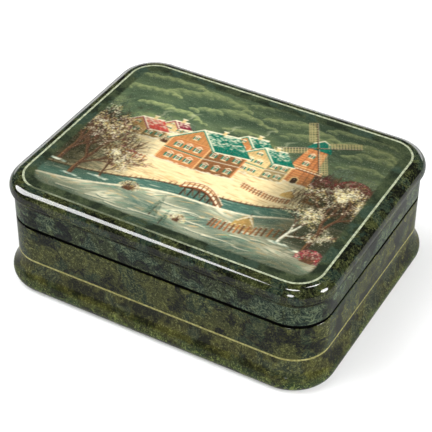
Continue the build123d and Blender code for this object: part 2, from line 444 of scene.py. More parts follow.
def addPiece(name, mesh, body, slot, *nodes, sharp=32):
    mesh.set_sharp_from_angle(angle=math.radians(sharp))
    piece = addObject(name, mesh)
    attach(piece, body)
    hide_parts(*nodes)


def arc(centre, radius, fromDegrees, toDegrees, step=5.0, hold=0.6):
    # points on an arc, with a short first and last step so that flats beside it stay flat in the gloss
    span = toDegrees - fromDegrees
    sign = 1 if span > 0 else -1
    inner = max(1, round((abs(span) - 2 * hold) / step))
    turns = [0.0] + [hold + (abs(span) - 2 * hold) * k / inner for k in range(inner + 1)] + [abs(span)]
    return [(centre[0] + radius * math.cos(math.radians(fromDegrees + sign * t)),
             centre[1] + radius * math.sin(math.radians(fromDegrees + sign * t))) for t in turns]


def hold(a, b, reach=0.25):
    # two extra points on a straight run, close to its ends
    length = math.dist(a, b)
    if length < 3 * reach:
        return [a, b]
    t = reach / length
    return [a, (a[0] + (b[0] - a[0]) * t, a[1] + (b[1] - a[1]) * t),
            (b[0] + (a[0] - b[0]) * t, b[1] + (a[1] - b[1]) * t), b]


def chain(*parts):
    points = []
    for part in parts:
        for p in part:
            if not points or math.dist(points[-1], p) > 1e-5:
                points.append(p)
    return points


# Cutters for the hinge's place in both walls

def cutterMesh(build):
    bm = bmesh.new()
    build(bm)
    mesh = bpy.data.meshes.new("cutter")
    bmesh.ops.recalc_face_normals(bm, faces=bm.faces)
    bm.to_mesh(mesh)
    bm.free()
    return addObject("cutter", mesh)


def prism(points, halfLength):
    # a section in Y and Z carried along X
    def build(bm):
        ends = [[bm.verts.new((x, y * mm, z * mm)) for y, z in points]
                for x in (-halfLength * mm, halfLength * mm)]
        count = len(points)
        for k in range(count):
            bm.faces.new((ends[0][k], ends[0][(k + 1) % count], ends[1][(k + 1) % count], ends[1][k]))
        bm.faces.new(ends[0])
        bm.faces.new(list(reversed(ends[1])))
    return cutterMesh(build)


def rod(x, y, z, radius, length, along, steps=40):
    turn = Matrix.Rotation(math.pi / 2, 4, "Y" if along == "X" else "X")
    where = Matrix.Translation((x * mm, y * mm, z * mm)) @ turn

    def build(bm):
        bmesh.ops.create_cone(bm, cap_ends=True, segments=steps, radius1=radius * mm, radius2=radius * mm,
                              depth=length * mm, matrix=where)
    return cutterMesh(build)


hingeCut = {"bevelRun": 3.0, "bevelOver": 0.5, "rivetOver": 1.0}


def cutForHinge(mesh, side, innerFace):
    h = hinge
    y, z = h["axisY"], h["axisZ"]
    past = y + hingeCut["bevelRun"]
    drop = side * hingeCut["bevelRun"] * math.tan(math.radians(h["bevelDegrees"]))
    half = h["leafThickness"] / 2
    wall = addObject("wall", mesh)
    rivetLength = h["rivetOuterEnd"] - innerFace + hingeCut["rivetOver"]
    cutters = [prism([(y, z), (past, z - side * hingeCut["bevelOver"]), (past, z + drop)],
                     outline["length"]),
               rod(0, y, z, h["roomRadius"], h["roomLength"], "X"),
               prism([(y - half, z - side), (y + half, z - side), (y + half, z + side * h["leafReach"]),
                      (y - half, z + side * h["leafReach"])], h["leafLength"] / 2)]
    for k in (-1, 0, 1):
        cutters.append(rod(k * h["rivetPitch"], h["rivetOuterEnd"] - rivetLength / 2,
                           z + side * h["rivetFromSeam"], h["rivetRadius"], rivetLength, "Y", 24))
    for cutter in cutters:
        cut = wall.modifiers.new("cut", "BOOLEAN")
        cut.operation = "DIFFERENCE"
        cut.solver = "EXACT"
        cut.object = cutter
    result = meshOf(wall)
    bpy.data.objects.remove(wall)
    for cutter in cutters:
        bpy.data.objects.remove(cutter)
    while len(result.materials) > len(mesh.materials):
        result.materials.pop()
    return result


# The box

floorBoard = {"out": -1.2, "edgeRound": 0.3, "flatFrom": 4.0}


def makeFloorBoard():
    out, r = floorBoard["out"], floorBoard["edgeRound"]
    top = levels["floorTop"]
    side = chain(arc((out - r, r), r, -90, 0), hold((out, r), (out, top)), [(out - r, top)])
    flat = out - floorBoard["flatFrom"]
    runs = [laid(side, black), laid([(flat, 0.0), (out - r, 0.0)], black),
            laid([(out - r, top), (flat, top)], red)]
    mesh = joinRuns("floor_board", runs, [(0.0, black), (top, red)])
    addPiece("floorBoardPanel", mesh, "box", "red_lacquer", "floor_board")


plinth = {"out": -1.2, "crease": 15.1, "flare": 3.0, "widest": 4.8, "tuck": 2.7, "toeRound": 0.6}


def makePlinth():
    p = plinth
    roll = (p["widest"] ** 2 / p["tuck"] + p["tuck"]) / 2
    drop = p["crease"] - p["widest"]
    both = (drop ** 2 / p["flare"] + p["flare"]) / 2
    cove = both - roll
    rollCentre = (p["flare"] - roll, p["widest"])
    coveCentre = (cove, p["crease"])
    meet = math.degrees(math.atan2(coveCentre[1] - rollCentre[1], coveCentre[0] - rollCentre[0]))
    toe = -math.degrees(math.asin((p["widest"] - p["toeRound"]) / (roll - p["toeRound"])))
    toeCentre = (rollCentre[0] + (roll - p["toeRound"]) * math.cos(math.radians(toe)), p["toeRound"])
    side = chain(arc(toeCentre, p["toeRound"], -90, toe, 8), arc(rollCentre, roll, toe, meet, 4),
                 arc(coveCentre, cove, meet + 180, 180, 2.5))
    back = [(0.0, p["crease"]), (p["out"], p["crease"]), (p["out"], 0.0), (toeCentre[0], 0.0)]
    mesh = joinRuns("plinth_band", [laid(side, plinthLacquer), laid(back, black)])
    addPiece("plinthBand", mesh, "box", "green_lacquer", "plinth_band")


boxWall = {"thickness": 3.6, "letIn": 1.2, "rimRound": 0.5, "shadeFromTurn": 50}


def makeBoxWall():
    w = boxWall
    seam, crease, floorTop, r = levels["seam"], levels["crease"], levels["floorTop"], w["rimRound"]
    turned = w["shadeFromTurn"]
    outer = chain([(-w["letIn"], floorTop), (-w["letIn"], crease), (0.0, crease)],
                  hold((0.0, crease), (0.0, seam - r)), arc((-r, seam - r), r, 0, turned, 9))
    # the rounding is lacquer up to the turn given above; past it the rounding is painted shade in the seam
    # black, and the flat rim and inner face carry the same black
    rim = chain([outer[-1]], arc((-r, seam - r), r, turned, 90, 9)[1:],
                hold((-r, seam), (-w["thickness"], seam)),
                [(-w["thickness"], seam), (-w["thickness"], floorTop), (-w["letIn"], floorTop)])
    mesh = joinRuns("box_wall", [laid(outer, wallLacquer), laid(rim, rimBlackAndShade)])
    mesh = cutForHinge(mesh, -1, outline["width"] / 2 - w["thickness"])
    addPiece("boxWall", mesh, "box", "green_lacquer", "box_wall")


sleeve = {"outer": -3.6, "thickness": 1.4, "round": 0.5}


def makeSleeve():
    outer, inner, r = sleeve["outer"], sleeve["outer"] - sleeve["thickness"], sleeve["round"]
    top, bottom = levels["lipTop"], levels["floorTop"]
    outside = chain(hold((outer, bottom), (outer, top - r)), arc((outer - r, top - r), r, 0, 90, 9),
                    arc((inner + r, top - r), r, 90, 150, 9))
    inside = chain(arc((inner + r, top - r), r, 150, 180, 9), hold((inner, top - r), (inner, bottom)),
                   [(inner, bottom), (outer, bottom)])
    inside[0] = outside[-1]
    mesh = joinRuns("lip_sleeve", [laid(outside, black), laid(inside, red)])
    addPiece("lipSleeve", mesh, "box", "red_lacquer", "lip_sleeve")


plinthLine = {"width": 0.9, "rise": 0.03, "sunk": 0.05, "edge": 0.06}


def makePlinthLine():
    rise, sunk, edge = plinthLine["rise"], plinthLine["sunk"], plinthLine["edge"]
    low = levels["crease"]
    high = low + plinthLine["width"]
    ring = [(-sunk, low), (rise - 0.02, low + 0.01), (rise, low + edge),
            (rise, high - edge), (rise - 0.02, high - 0.01), (-sunk, high)]
    mesh = joinRuns("plinth_gold_line", [(sweptRun(ring, plinthGold, True), plinthGold)])
    addPiece("plinthGoldLine", mesh, "box", "gold_line", "plinth_gold_line")


makeFloorBoard()
makePlinth()
makeBoxWall()
makeSleeve()
makePlinthLine()
print("stage: box made")


# The lid

lidWall = {"thickness": 3.35, "letIn": 1.2, "rimRound": 0.5, "innerRound": 0.3, "paintedShadeFoot": 1.0}
nosing = {"overhang": 1.6, "radius": 4.4, "cove": 1.6}
nosingCentre = (nosing["overhang"] - nosing["radius"], levels["lidUnder"])
nosingReach = nosing["radius"] + nosing["cove"]
nosingFoot = levels["lidUnder"] - math.sqrt(nosingReach ** 2 - (nosing["cove"] - nosingCentre[0]) ** 2)


def makeLidWall():
    w = lidWall
    seam, under, r, q = levels["seam"], levels["lidUnder"], w["rimRound"], w["innerRound"]
    t = w["thickness"]
    # the underside and the foot of the inner face are seam black; the outer rounding and a 1 mm strip of the
    # outer face above it are painted shade in the same black
    rim = chain([(-t, seam + q + 0.4)], [(-t, seam + q)], arc((-t + q, seam + q), q, 180, 270, 12),
                hold((-t + q, seam), (-r, seam)), arc((-r, seam + r), r, 270, 360, 9),
                [(0.0, seam + r + w["paintedShadeFoot"])])
    outer = chain(hold((0.0, seam + r + w["paintedShadeFoot"]), (0.0, nosingFoot)),
                  [(-w["letIn"], nosingFoot), (-w["letIn"], under), (-t, under)])
    inner = chain([(-t, under)], hold((-t, under), (-t, seam + q + 0.4)))
    mesh = joinRuns("lid_wall", [laid(rim, rimBlackAndShade), laid(outer, lidWallLacquer), laid(inner, red)])
    mesh = cutForHinge(mesh, 1, outline["width"] / 2 - t)
    addPiece("lidWall", mesh, "lid", "green_lacquer", "lid_wall")


def makeNosingBand():
    c, r, q = nosingCentre, nosing["radius"], nosing["cove"]
    meet = math.degrees(math.atan2(nosingFoot - c[1], q - c[0]))
    side = chain(arc(c, r, 0, meet, 4), arc((q, nosingFoot), q, meet + 180, 180, 5))
    back = [(0.0, nosingFoot), (-lidWall["letIn"], nosingFoot),
            (-lidWall["letIn"], c[1]), (nosing["overhang"], c[1])]
    mesh = joinRuns("nosing_band", [laid(side, bandLacquer), laid(back, black)])
    addPiece("nosingBand", mesh, "lid", "green_lacquer", "nosing_band")


lidTop = {"lineInset": 4.3, "lineWidth": 0.9, "margin": 3.0, "recess": 0.15, "flatHold": 0.4,
          "bedEdge": 1.0, "ceilingEdge": 2.0}
pictureOut = -lidTop["lineInset"] - lidTop["lineWidth"] / 2 - lidTop["margin"]


def makeLidBoard():
    c, r, top = nosingCentre, nosing["radius"], levels["top"]
    line, bed, flat = -lidTop["lineInset"], top - lidTop["recess"], lidTop["flatHold"]
    inner = -lidWall["thickness"]
    side = chain(arc(c, r, 0, 90, 4), hold((c[0], top), (line, top), flat))
    margin = chain(hold((line, top), (pictureOut, top), flat),
                   [(pictureOut, bed), (pictureOut - lidTop["bedEdge"], bed)])
    runs = [laid(side, nosingLacquer), laid(margin, marginLacquer),
            laid([(nosing["overhang"], c[1]), (inner, c[1])], black),
            laid([(inner, c[1]), (inner - lidTop["ceilingEdge"], c[1])], red)]
    mesh = joinRuns("lid_board", runs, [(c[1], red), (bed, black)])
    addPiece("lidBoard", mesh, "lid", "green_lacquer", "lid_board")


lidLine = {"waver": 0.35, "waverSize": 110.0, "seed": 5.0}


def makeLidLine():
    top = levels["top"]
    middle = -lidTop["lineInset"]
    half = lidTop["lineWidth"] / 2
    grow = {"length": (outline["length"] + 2 * middle) * mm, "width": (outline["width"] + 2 * middle) * mm,
            "radius": (outline["cornerRadius"] + middle) * mm}
    ring = [(-half, 0), (-half + 0.05, 0.02), (-half + 0.14, 0.03), (half - 0.14, 0.03),
            (half - 0.05, 0.02), (half, 0), (half, -0.05), (-half, -0.05)]
    mesh = sweptRun(ring, lidGold, True, **lidLine, **grow)
    mesh.transform(Matrix.Translation((0, 0, top * mm)))
    mesh = joinRuns("lid_gold_line", [(mesh, lidGold)])
    addPiece("lidGoldLine", mesh, "lid", "gold_line", "lid_gold_line")


# The picture: a winter village painted stroke by stroke on one canvas

picture = {"halfX": 63.25, "halfY": 47.5, "corner": 7.75, "fine": 5.6, "seed": 11, "across": 362, "up": 272,
           "fade": 3.2}
strokes = {"sky": 3800, "forest": 190, "slope": 3400, "river": 1900, "reeds": 260,
           "nearBank": 4200, "crests": 34}


def toSegment(gridX, gridY, a, b):
    # how far along a line each point of the grid is, 0 to 1, and how far away from it
    dx, dy = b[0] - a[0], b[1] - a[1]
    t = np.clip(((gridX - a[0]) * dx + (gridY - a[1]) * dy) / (dx * dx + dy * dy + 1e-9), 0, 1)
    return t, np.hypot(gridX - a[0] - t * dx, gridY - a[1] - t * dy)


# A canvas in millimetres across the picture. Every stroke of the brush lands on it.
class Canvas:
    def __init__(self, halfX, halfY, fine):
        self.halfX, self.halfY, self.fine = halfX, halfY, fine
        self.wide, self.high = round(2 * halfX * fine) + 1, round(2 * halfY * fine) + 1
        self.color = np.zeros((self.high, self.wide, 3))
        self.xs = np.linspace(-halfX, halfX, self.wide)
        self.ys = np.linspace(-halfY, halfY, self.high)
        self.rng = np.random.default_rng(picture["seed"])
        self.clip = None

    def window(self, x0, x1, y0, y1):
        i0 = max(0, int((x0 + self.halfX) * self.fine))
        i1 = min(self.wide, int((x1 + self.halfX) * self.fine) + 2)
        j0 = max(0, int((y0 + self.halfY) * self.fine))
        j1 = min(self.high, int((y1 + self.halfY) * self.fine) + 2)
        if i1 <= i0 or j1 <= j0:
            return None
        return (slice(j0, j1), slice(i0, i1)), self.xs[None, i0:i1], self.ys[j0:j1, None]

    def lay(self, where, cover, color):
        if self.clip is not None:
            cover = cover * self.clip[where]
        self.color[where] += (np.asarray(color) - self.color[where]) * cover[..., None]

    # one touch of the brush: a soft oval
    def dab(self, x, y, length, width, angle, color, alpha=1.0, soft=0.45):
        reach = length / 2 + width
        found = self.window(x - reach, x + reach, y - reach, y + reach)
        if found:
            where, gridX, gridY = found
            c, s = math.cos(angle), math.sin(angle)
            u = ((gridX - x) * c + (gridY - y) * s) / (length / 2)
            v = (-(gridX - x) * s + (gridY - y) * c) / (width / 2)
            self.lay(where, alpha * np.clip((1 - np.sqrt(u * u + v * v)) / soft, 0, 1), color)

    # a drawn line that may thin out
    def line(self, points, w0, w1, color, alpha=1.0):
        n = len(points) - 1
        for k in range(n):
            (x0, y0), (x1, y1) = points[k], points[k + 1]
            wa, wb = w0 + (w1 - w0) * k / n, w0 + (w1 - w0) * (k + 1) / n
            reach = max(wa, wb) + 0.3
            found = self.window(min(x0, x1) - reach, max(x0, x1) + reach,
                                min(y0, y1) - reach, max(y0, y1) + reach)
            if found:
                where, gridX, gridY = found
                t, d = toSegment(gridX, gridY, points[k], points[k + 1])
                cover = np.clip(((wa + (wb - wa) * t) / 2 - d) * self.fine + 0.5, 0, 1)
                self.lay(where, alpha * cover, color)

    def level(self, x0, x1, y, width, color, alpha=1.0):
        self.line([(x0, y), (x1, y)], width, width, color, alpha)

    def upright(self, x, y0, y1, width, color, alpha=1.0):
        self.line([(x, y0), (x, y1)], width, width, color, alpha)

    def inside(self, points, soft):
        xs, ys = [p[0] for p in points], [p[1] for p in points]
        found = self.window(min(xs) - soft, max(xs) + soft, min(ys) - soft, max(ys) + soft)
        if not found:
            return None
        where, gridX, gridY = found
        within = np.zeros((gridY.shape[0], gridX.shape[1]), bool)
        near = np.full(within.shape, 1e9)
        for k in range(len(points)):
            (x0, y0), (x1, y1) = points[k - 1], points[k]
            near = np.minimum(near, toSegment(gridX, gridY, points[k - 1], points[k])[1])
            if y0 != y1:
                beside = (gridY >= min(y0, y1)) & (gridY < max(y0, y1))
                within ^= beside & (gridX < x0 + (gridY - y0) * (x1 - x0) / (y1 - y0))
        return where, np.clip(0.5 + np.where(within, near, -near) / (2 * soft), 0, 1)

    def patch(self, points, color, soft):
        found = self.inside(points, soft)
        if found:
            self.lay(*found, color)

    def box(self, x0, x1, y0, y1, color, soft):
        self.patch([(x0, y0), (x1, y0), (x1, y1), (x0, y1)], color, soft)

    # a shape filled with strokes: "stroke" gives length, width, turn, colour and cover for a place
    def brush(self, points, ground, count, stroke, soft):
        self.patch(points, ground, soft)
        found = self.inside(points, soft)
        if not found:
            return
        old = self.clip
        self.clip = np.zeros((self.high, self.wide))
        self.clip[found[0]] = found[1]
        xs, ys = [p[0] for p in points], [p[1] for p in points]
        for k in range(count):
            x, y = self.rng.uniform(min(xs), max(xs)), self.rng.uniform(min(ys), max(ys))
            self.dab(x, y, *stroke(x, y))
        self.clip = old


def tone(r, g, b):
    return np.array((r, g, b)) / 255


def blend(a, b, t):
    return a + (b - a) * min(1.0, max(0.0, t))


def between(grid, i, j, u, v):
    # read between four points of a grid
    return ((grid[j, i] * (1 - u) + grid[j, i + 1] * u) * (1 - v)
            + (grid[j + 1, i] * (1 - u) + grid[j + 1, i + 1] * u) * v)


noiseReach = 70  # past the picture's edge on every side


def softNoise(rng, cells):
    grid = rng.random((cells + 2, cells + 2))

    def read(x, y):
        gx, gy = ((v + noiseReach) / (2 * noiseReach) * cells for v in (x, y))
        i, j = int(gx), int(gy)
        u, v = gx - i, gy - j
        return between(grid, i, j, u * u * (3 - 2 * u), v * v * (3 - 2 * v))
    return read


def smoothPath(points, pieces=6):
    made = []
    p = [points[0]] + list(points) + [points[-1]]
    for k in range(1, len(p) - 2):
        for m in range(pieces):
            t = m / pieces
            spot = []
            for i in (0, 1):
                q, r, s, u = (p[k + n][i] for n in (-1, 0, 1, 2))
                spot.append(0.5 * (2 * r + (s - q) * t + (2 * q - 5 * r + 4 * s - u) * t * t
                                   + (3 * r - 3 * s + u - q) * t ** 3))
            made.append(tuple(spot))
    return made + [points[-1]]


night, moss = tone(58, 74, 60), tone(86, 101, 78)
cloudOlive, cloudPale = tone(124, 134, 92), tone(176, 180, 128)
tealDeep, teal, tealLight = tone(10, 62, 56), tone(18, 108, 88), tone(98, 172, 144)
frost, snowPale = tone(242, 236, 206), tone(206, 210, 186)
snowMid, snowShade = tone(140, 150, 128), tone(78, 104, 94)
litPale, litWarm, litDeep = tone(240, 220, 172), tone(224, 184, 124), tone(188, 142, 92)
orange, rust, brown, umber = tone(206, 132, 78), tone(158, 92, 54), tone(106, 70, 46), tone(54, 40, 30)
cream, ochre, gold = tone(238, 212, 150), tone(198, 156, 92), tone(212, 188, 108)
crimson, poppy, rose = tone(122, 28, 50), tone(198, 72, 62), tone(206, 134, 134)

# every bank of clouds: where it starts, how long it is and the size of its scallops
cloudBanks = ((-60, 41, 44, 3.4), (-8, 42, 40, 3.2), (30, 42, 34, 3.0), (-44, 34.5, 42, 4.6),
              (4, 36, 36, 4.2), (38, 36, 28, 3.6), (-63, 28, 30, 3.8), (-28, 27.5, 40, 4.4),
              (14, 29, 26, 3.6), (42, 28.5, 24, 3.8), (-50, 21, 34, 3.4), (-10, 21, 24, 3.2),
              (44, 21, 22, 3.0))
def paintSky(c):
    rng = c.rng
    drift, billow = softNoise(rng, 6), softNoise(rng, 15)
    for j, y in enumerate(c.ys):
        c.color[j] = blend(tone(112, 124, 98), night, (y - 4) / 46)
    for k in range(strokes["sky"]):
        x, y = rng.uniform(-64, 64), rng.uniform(2, 48.5)
        bright = (0.6 * math.sin(y / 3.6 + 6 * drift(x, y)) + 1.3 * (billow(x, y) - 0.5)
                  - max(0, (y - 36) / 16))
        color = blend(moss, cloudOlive, bright * 1.5) if bright > 0 else blend(moss, night, -bright * 1.4)
        slope = 2.2 * (drift(x + 3, y) - drift(x - 3, y))
        c.dab(x, y, rng.uniform(4, 10), rng.uniform(0.6, 1.6), slope + rng.normal(0, 0.1),
              color * rng.uniform(0.9, 1.1), 0.5)
    for x, y, length, size in cloudBanks:
        paintCloudBank(c, x, y, length, size)
    left = np.clip((4 - c.xs[None, :, None]) / 60, 0, 1)
    c.color *= np.array((0.88, 0.92, 0.87)) * (1 + 0.32 * left)


def glaze(c):
    # a dark varnish tone gathers towards the edges
    gridX, gridY = c.xs[None, :], c.ys[:, None]
    side = np.clip((np.abs(gridX + 3) - 24) / 30, 0, 1)
    back = np.clip((gridY - 26) / 24, 0, 1)
    front = np.clip((-38 - gridY) / 10, 0, 1)
    low = np.clip((16 - gridY) / 12, 0.25, 1) * np.clip((gridY + 42) / 14, 0.3, 1)
    dark = np.clip(0.9 * side * low + 0.2 * back + 0.22 * front, 0, 0.84)
    c.color += (tone(34, 36, 22) - c.color) * dark[..., None]
    c.color *= np.array((0.955, 0.935, 0.91))


def paintCloudBank(c, x, y, length, size):
    # a row of scallops, each drawn from its lit rim inwards
    rng = c.rng
    bow = rng.uniform(-0.08, 0.12)
    lit = rng.uniform(0.62, 0.88)
    for k in range(int(length / size)):
        t = k * size / length
        px = x + k * size + rng.normal(0, 0.3)
        py = y + bow * k * size + size * 0.8 * math.sin(3.1 * t) + rng.normal(0, 0.35)
        r = size * rng.uniform(0.7, 1.15) * (0.55 + 0.75 * math.sin(math.pi * min(1, t + 0.12)))
        c.dab(px, py - r * 0.5, r * 3.2, r * 1.5, bow, blend(night, moss, 0.2), 0.5, 0.9)
        first, last = rng.uniform(-0.1, 0.5), rng.uniform(2.4, 3.1)
        for m in range(7):
            f = 1 - m * 0.13
            color = blend(blend(moss, cloudPale, lit), moss * 0.92, m / 6) * rng.uniform(0.95, 1.04)
            rim = [(px + r * f * math.cos(a), py + r * 0.8 * f * math.sin(a))
                   for a in np.linspace(first, last, 7)]
            c.line(rim, 0.6, 0.42, color, 0.7)


def paintFir(c, x, y, tall, frosted):
    rng = c.rng
    wide = tall * 0.42
    dark = tone(24, 50, 40)
    c.line([(x, y - 0.5), (x, y + tall * 0.6)], 0.5, 0.2, umber)
    rows = max(5, int(tall * 1.5))
    for k in range(rows):
        t = k / (rows - 1)
        half = wide / 2 * (1 - t) ** 0.85 + 0.15
        py = y + tall * (0.08 + 0.9 * t)
        for m in range(max(3, int(half * 4.5))):
            side = rng.uniform(-1, 1)
            px, low = x + side * half, abs(side) * half * 0.45
            color = blend(dark, tone(52, 88, 68), rng.random() * (0.5 - 0.5 * side))
            c.dab(px, py - low, 0.55 + half * 0.45, 0.34, -side * 0.7, color, 0.85)
            if rng.random() < frosted:
                c.dab(px, py - low + 0.16, 0.35 + half * 0.3, 0.2, -side * 0.7,
                      blend(snowShade, frost, rng.random()), 0.8)


def paintRoundTree(c, x, y, wide, tall, body, tips):
    # a bushy crown full of rime, seen against the sky
    rng = c.rng
    c.line([(x, y), (x + rng.normal(0, 0.3), y + tall * 0.4)], 0.6, 0.3, umber)
    for k in range(int(wide * tall * 2.4)):
        a, r = rng.uniform(-0.25, math.pi + 0.25), math.sqrt(rng.random())
        px, py = x + math.cos(a) * r * wide / 2, y + tall * 0.35 + math.sin(a) * r * tall * 0.65
        c.dab(px, py, rng.uniform(0.5, 1.2), 0.3, a + rng.normal(0, 0.4),
              body * rng.uniform(0.75, 1.15), 0.7)
        if rng.random() < 0.2 + 0.35 * r:
            c.dab(px, py + 0.1, rng.uniform(0.3, 0.6), 0.24, a, tips[rng.integers(len(tips))], 0.8)


def paintFarForest(c):
    rng = c.rng
    count = strokes["forest"]
    for k in range(count):
        x = -64 + 128 * (k + rng.random()) / count
        side = max(0, abs(x + 4) - 30) / 34
        foot = 7.0 + 2.0 * math.sin(x / 12 + 0.6)
        tall = rng.uniform(3.5, 6.5) + 6 * side
        haze = blend(tone(56, 74, 62), tone(40, 54, 44), side) * rng.uniform(0.85, 1.2)
        for m in range(12):
            t = m / 11
            c.dab(x + rng.normal(0, 0.25), foot - 3 + (tall + 3) * t, (1 - t) * 1.7 + 0.35, 0.6,
                  rng.normal(0, 0.3), haze, 0.7)
        if rng.random() < 0.5:
            c.dab(x, foot + tall * 0.85, 0.7, 0.3, 0.6, tone(150, 164, 136), 0.5)
    rime = (tone(150, 162, 146), tone(190, 192, 164))
    for x, y, wide, tall in ((-36, 12, 9, 8), (-24, 13, 7, 6.5), (16, 13, 8, 8), (24, 12, 7, 7),
                             (47, 13, 10, 10), (-59, 11, 9, 10), (58, 9, 10, 12)):
        paintRoundTree(c, x, y, wide, tall, tone(64, 82, 74), rime)


def hillTop(x):
    # snow line of the far bank: a long hill with its crown left of the middle
    return (3.5 + 9.5 * math.exp(-((x + 6) / 30) ** 2) + 1.5 * math.exp(-((x - 38) / 12) ** 2)
            + 0.5 * math.sin(x / 4.3))


def paintSlope(c):
    rng = c.rng
    shape = [(x, hillTop(x)) for x in np.arange(-64, 65, 1.0)] + [(64, -34), (-64, -34)]
    sweep = softNoise(rng, 9)

    def stroke(x, y):
        depth = max(0, hillTop(x) - y)
        slope = (hillTop(x + 1) - hillTop(x - 1)) / 2 * math.exp(-depth / 12)
        lit = math.exp(-((x - 2) / 36) ** 2)
        color = blend(litPale, litWarm, 1.6 * (sweep(x, y) - 0.25) + 0.2 * rng.normal())
        if rng.random() < 0.12:
            color = litDeep
        color = blend(blend(snowShade, snowPale, rng.random()), color, 1.25 * lit)
        if depth < 0.9:
            color = frost
        color = blend(color, tone(66, 62, 44), max(0, (abs(x + 1) - 38) / 16) * rng.uniform(0.6, 1.0))
        return (rng.uniform(2.5, 8), rng.uniform(0.3, 0.9), math.atan(slope) + rng.normal(0, 0.08),
                color, 0.62)
    c.brush(shape, litPale, strokes["slope"], stroke, 0.25)


def paintThicket(c, x0, x1, y0, y1, count, tones, lean):
    # bare undergrowth, dark stems against the light
    rng = c.rng
    for k in range(count):
        x, y = rng.uniform(x0, x1), rng.uniform(y0, y1)
        tall = rng.uniform(2.5, 6.0)
        bend = lean + rng.normal(0, 0.18)
        c.line([(x, y), (x + bend * tall * 0.5, y + tall * 0.5), (x + bend * tall * 1.3, y + tall)],
               0.42, 0.14, tones[rng.integers(len(tones))] * rng.uniform(0.8, 1.15), 0.8)


riverUpper = [(64, -9), (50, -9.5), (38, -12.5), (26, -17), (12, -19.5), (-4, -20.5), (-18, -23),
              (-32, -27.5), (-48, -31), (-64, -33)]
riverLower = [(-64, -41), (-48, -38.5), (-34, -34.5), (-20, -29.5), (-6, -26.5), (12, -25.5),
              (26, -23.5), (38, -18.5), (50, -15), (64, -14.5)]


def paintRiver(c):
    rng = c.rng
    upper, lower = smoothPath(riverUpper), smoothPath(riverLower)

    def stroke(x, y):
        color = blend(tone(44, 88, 80), tone(120, 150, 132), rng.random() ** 1.6)
        if rng.random() < 0.12:
            color = snowPale
        return rng.uniform(3, 9), rng.uniform(0.25, 0.7), 0.12 + rng.normal(0, 0.07), color, 0.6
    c.brush(upper + lower, tone(74, 110, 98), strokes["river"], stroke, 0.2)
    c.line([(x, y + 0.1) for x, y in upper], 0.9, 0.9, umber, 0.75)
    c.line([(x, y + 0.8) for x, y in upper], 0.8, 0.8, litPale, 0.9)
    for k in range(strokes["reeds"]):
        x, y = upper[rng.integers(len(upper))]
        c.line([(x, y - 0.4), (x + rng.normal(0, 0.4), y + rng.uniform(0.6, 2.2))], 0.24, 0.12, brown, 0.7)


def nearWave(x, y):
    return math.sin(x / 8.5 + y / 3.4 + 1.4 * math.sin(x / 17.0)) + 0.5 * math.sin(x / 3.7 - y / 2.6)


def paintNearBank(c):
    rng = c.rng
    lower = smoothPath(riverLower)
    shape = lower + [(64, -49), (-64, -49)]

    def stroke(x, y):
        wave = nearWave(x, y)
        color = blend(snowMid, frost, wave * 0.75) if wave > 0 else blend(snowMid, snowShade, -wave * 0.95)
        if rng.random() < 0.10:
            color = blend(tealLight, snowShade, rng.random())
        if rng.random() < 0.08:
            color = litWarm
        color = blend(color, tone(70, 96, 84), (-41 - y) / 9)
        turn = 0.16 - 0.30 * math.cos(x / 8.5 + y / 3.4)
        return rng.uniform(2.5, 9), rng.uniform(0.25, 0.8), turn + rng.normal(0, 0.07), color, 0.66
    c.brush(shape, snowMid, strokes["nearBank"], stroke, 0.25)
    c.line([(x, y - 0.3) for x, y in lower], 1.0, 1.0, frost, 0.8)
    for k in range(strokes["crests"]):
        x, y = rng.uniform(-60, 52), rng.uniform(-45, -22)
        if y < np.interp(x, [p[0] for p in lower], [p[1] for p in lower]) - 2.5:
            reach, bow = rng.uniform(5, 14), rng.uniform(-0.9, 0.9)
            crest = [(x + reach * t, y + 0.06 * reach * t + bow * math.sin(math.pi * t))
                     for t in np.linspace(0, 1, 9)]
            c.line([(px, py - 0.55) for px, py in crest], 0.9, 0.3, snowShade, 0.55)
            c.line(crest, 0.6, 0.2, frost, 0.85)


def paintWindow(c, x, y, w, h, lift=0.0):
    for side in (-1, 1):
        a, b = x + side * w * 1.05, x + side * w * 1.95
        c.patch([(a, y - h), (b, y - h + lift), (b, y + h + lift), (a, y + h)], teal, 0.07)
    c.box(x - w * 1.1, x + w * 1.1, y - h * 1.2, y + h * 1.2, frost, 0.07)
    c.box(x - w * 0.7, x + w * 0.7, y - h * 0.85, y + h * 0.85, umber, 0.07)
    c.dab(x, y - h * 0.1, w * 1.1, h * 1.0, 0, gold, 0.75)
    c.upright(x, y - h * 0.8, y + h * 0.8, 0.18, frost, 0.9)
    c.line([(x - w * 1.7, y + h * 1.45), (x, y + h * 2.2), (x + w * 1.7, y + h * 1.45)], 0.42, 0.42, frost)
    c.level(x - w * 1.5, x + w * 1.5, y - h * 1.4, 0.34, cream)


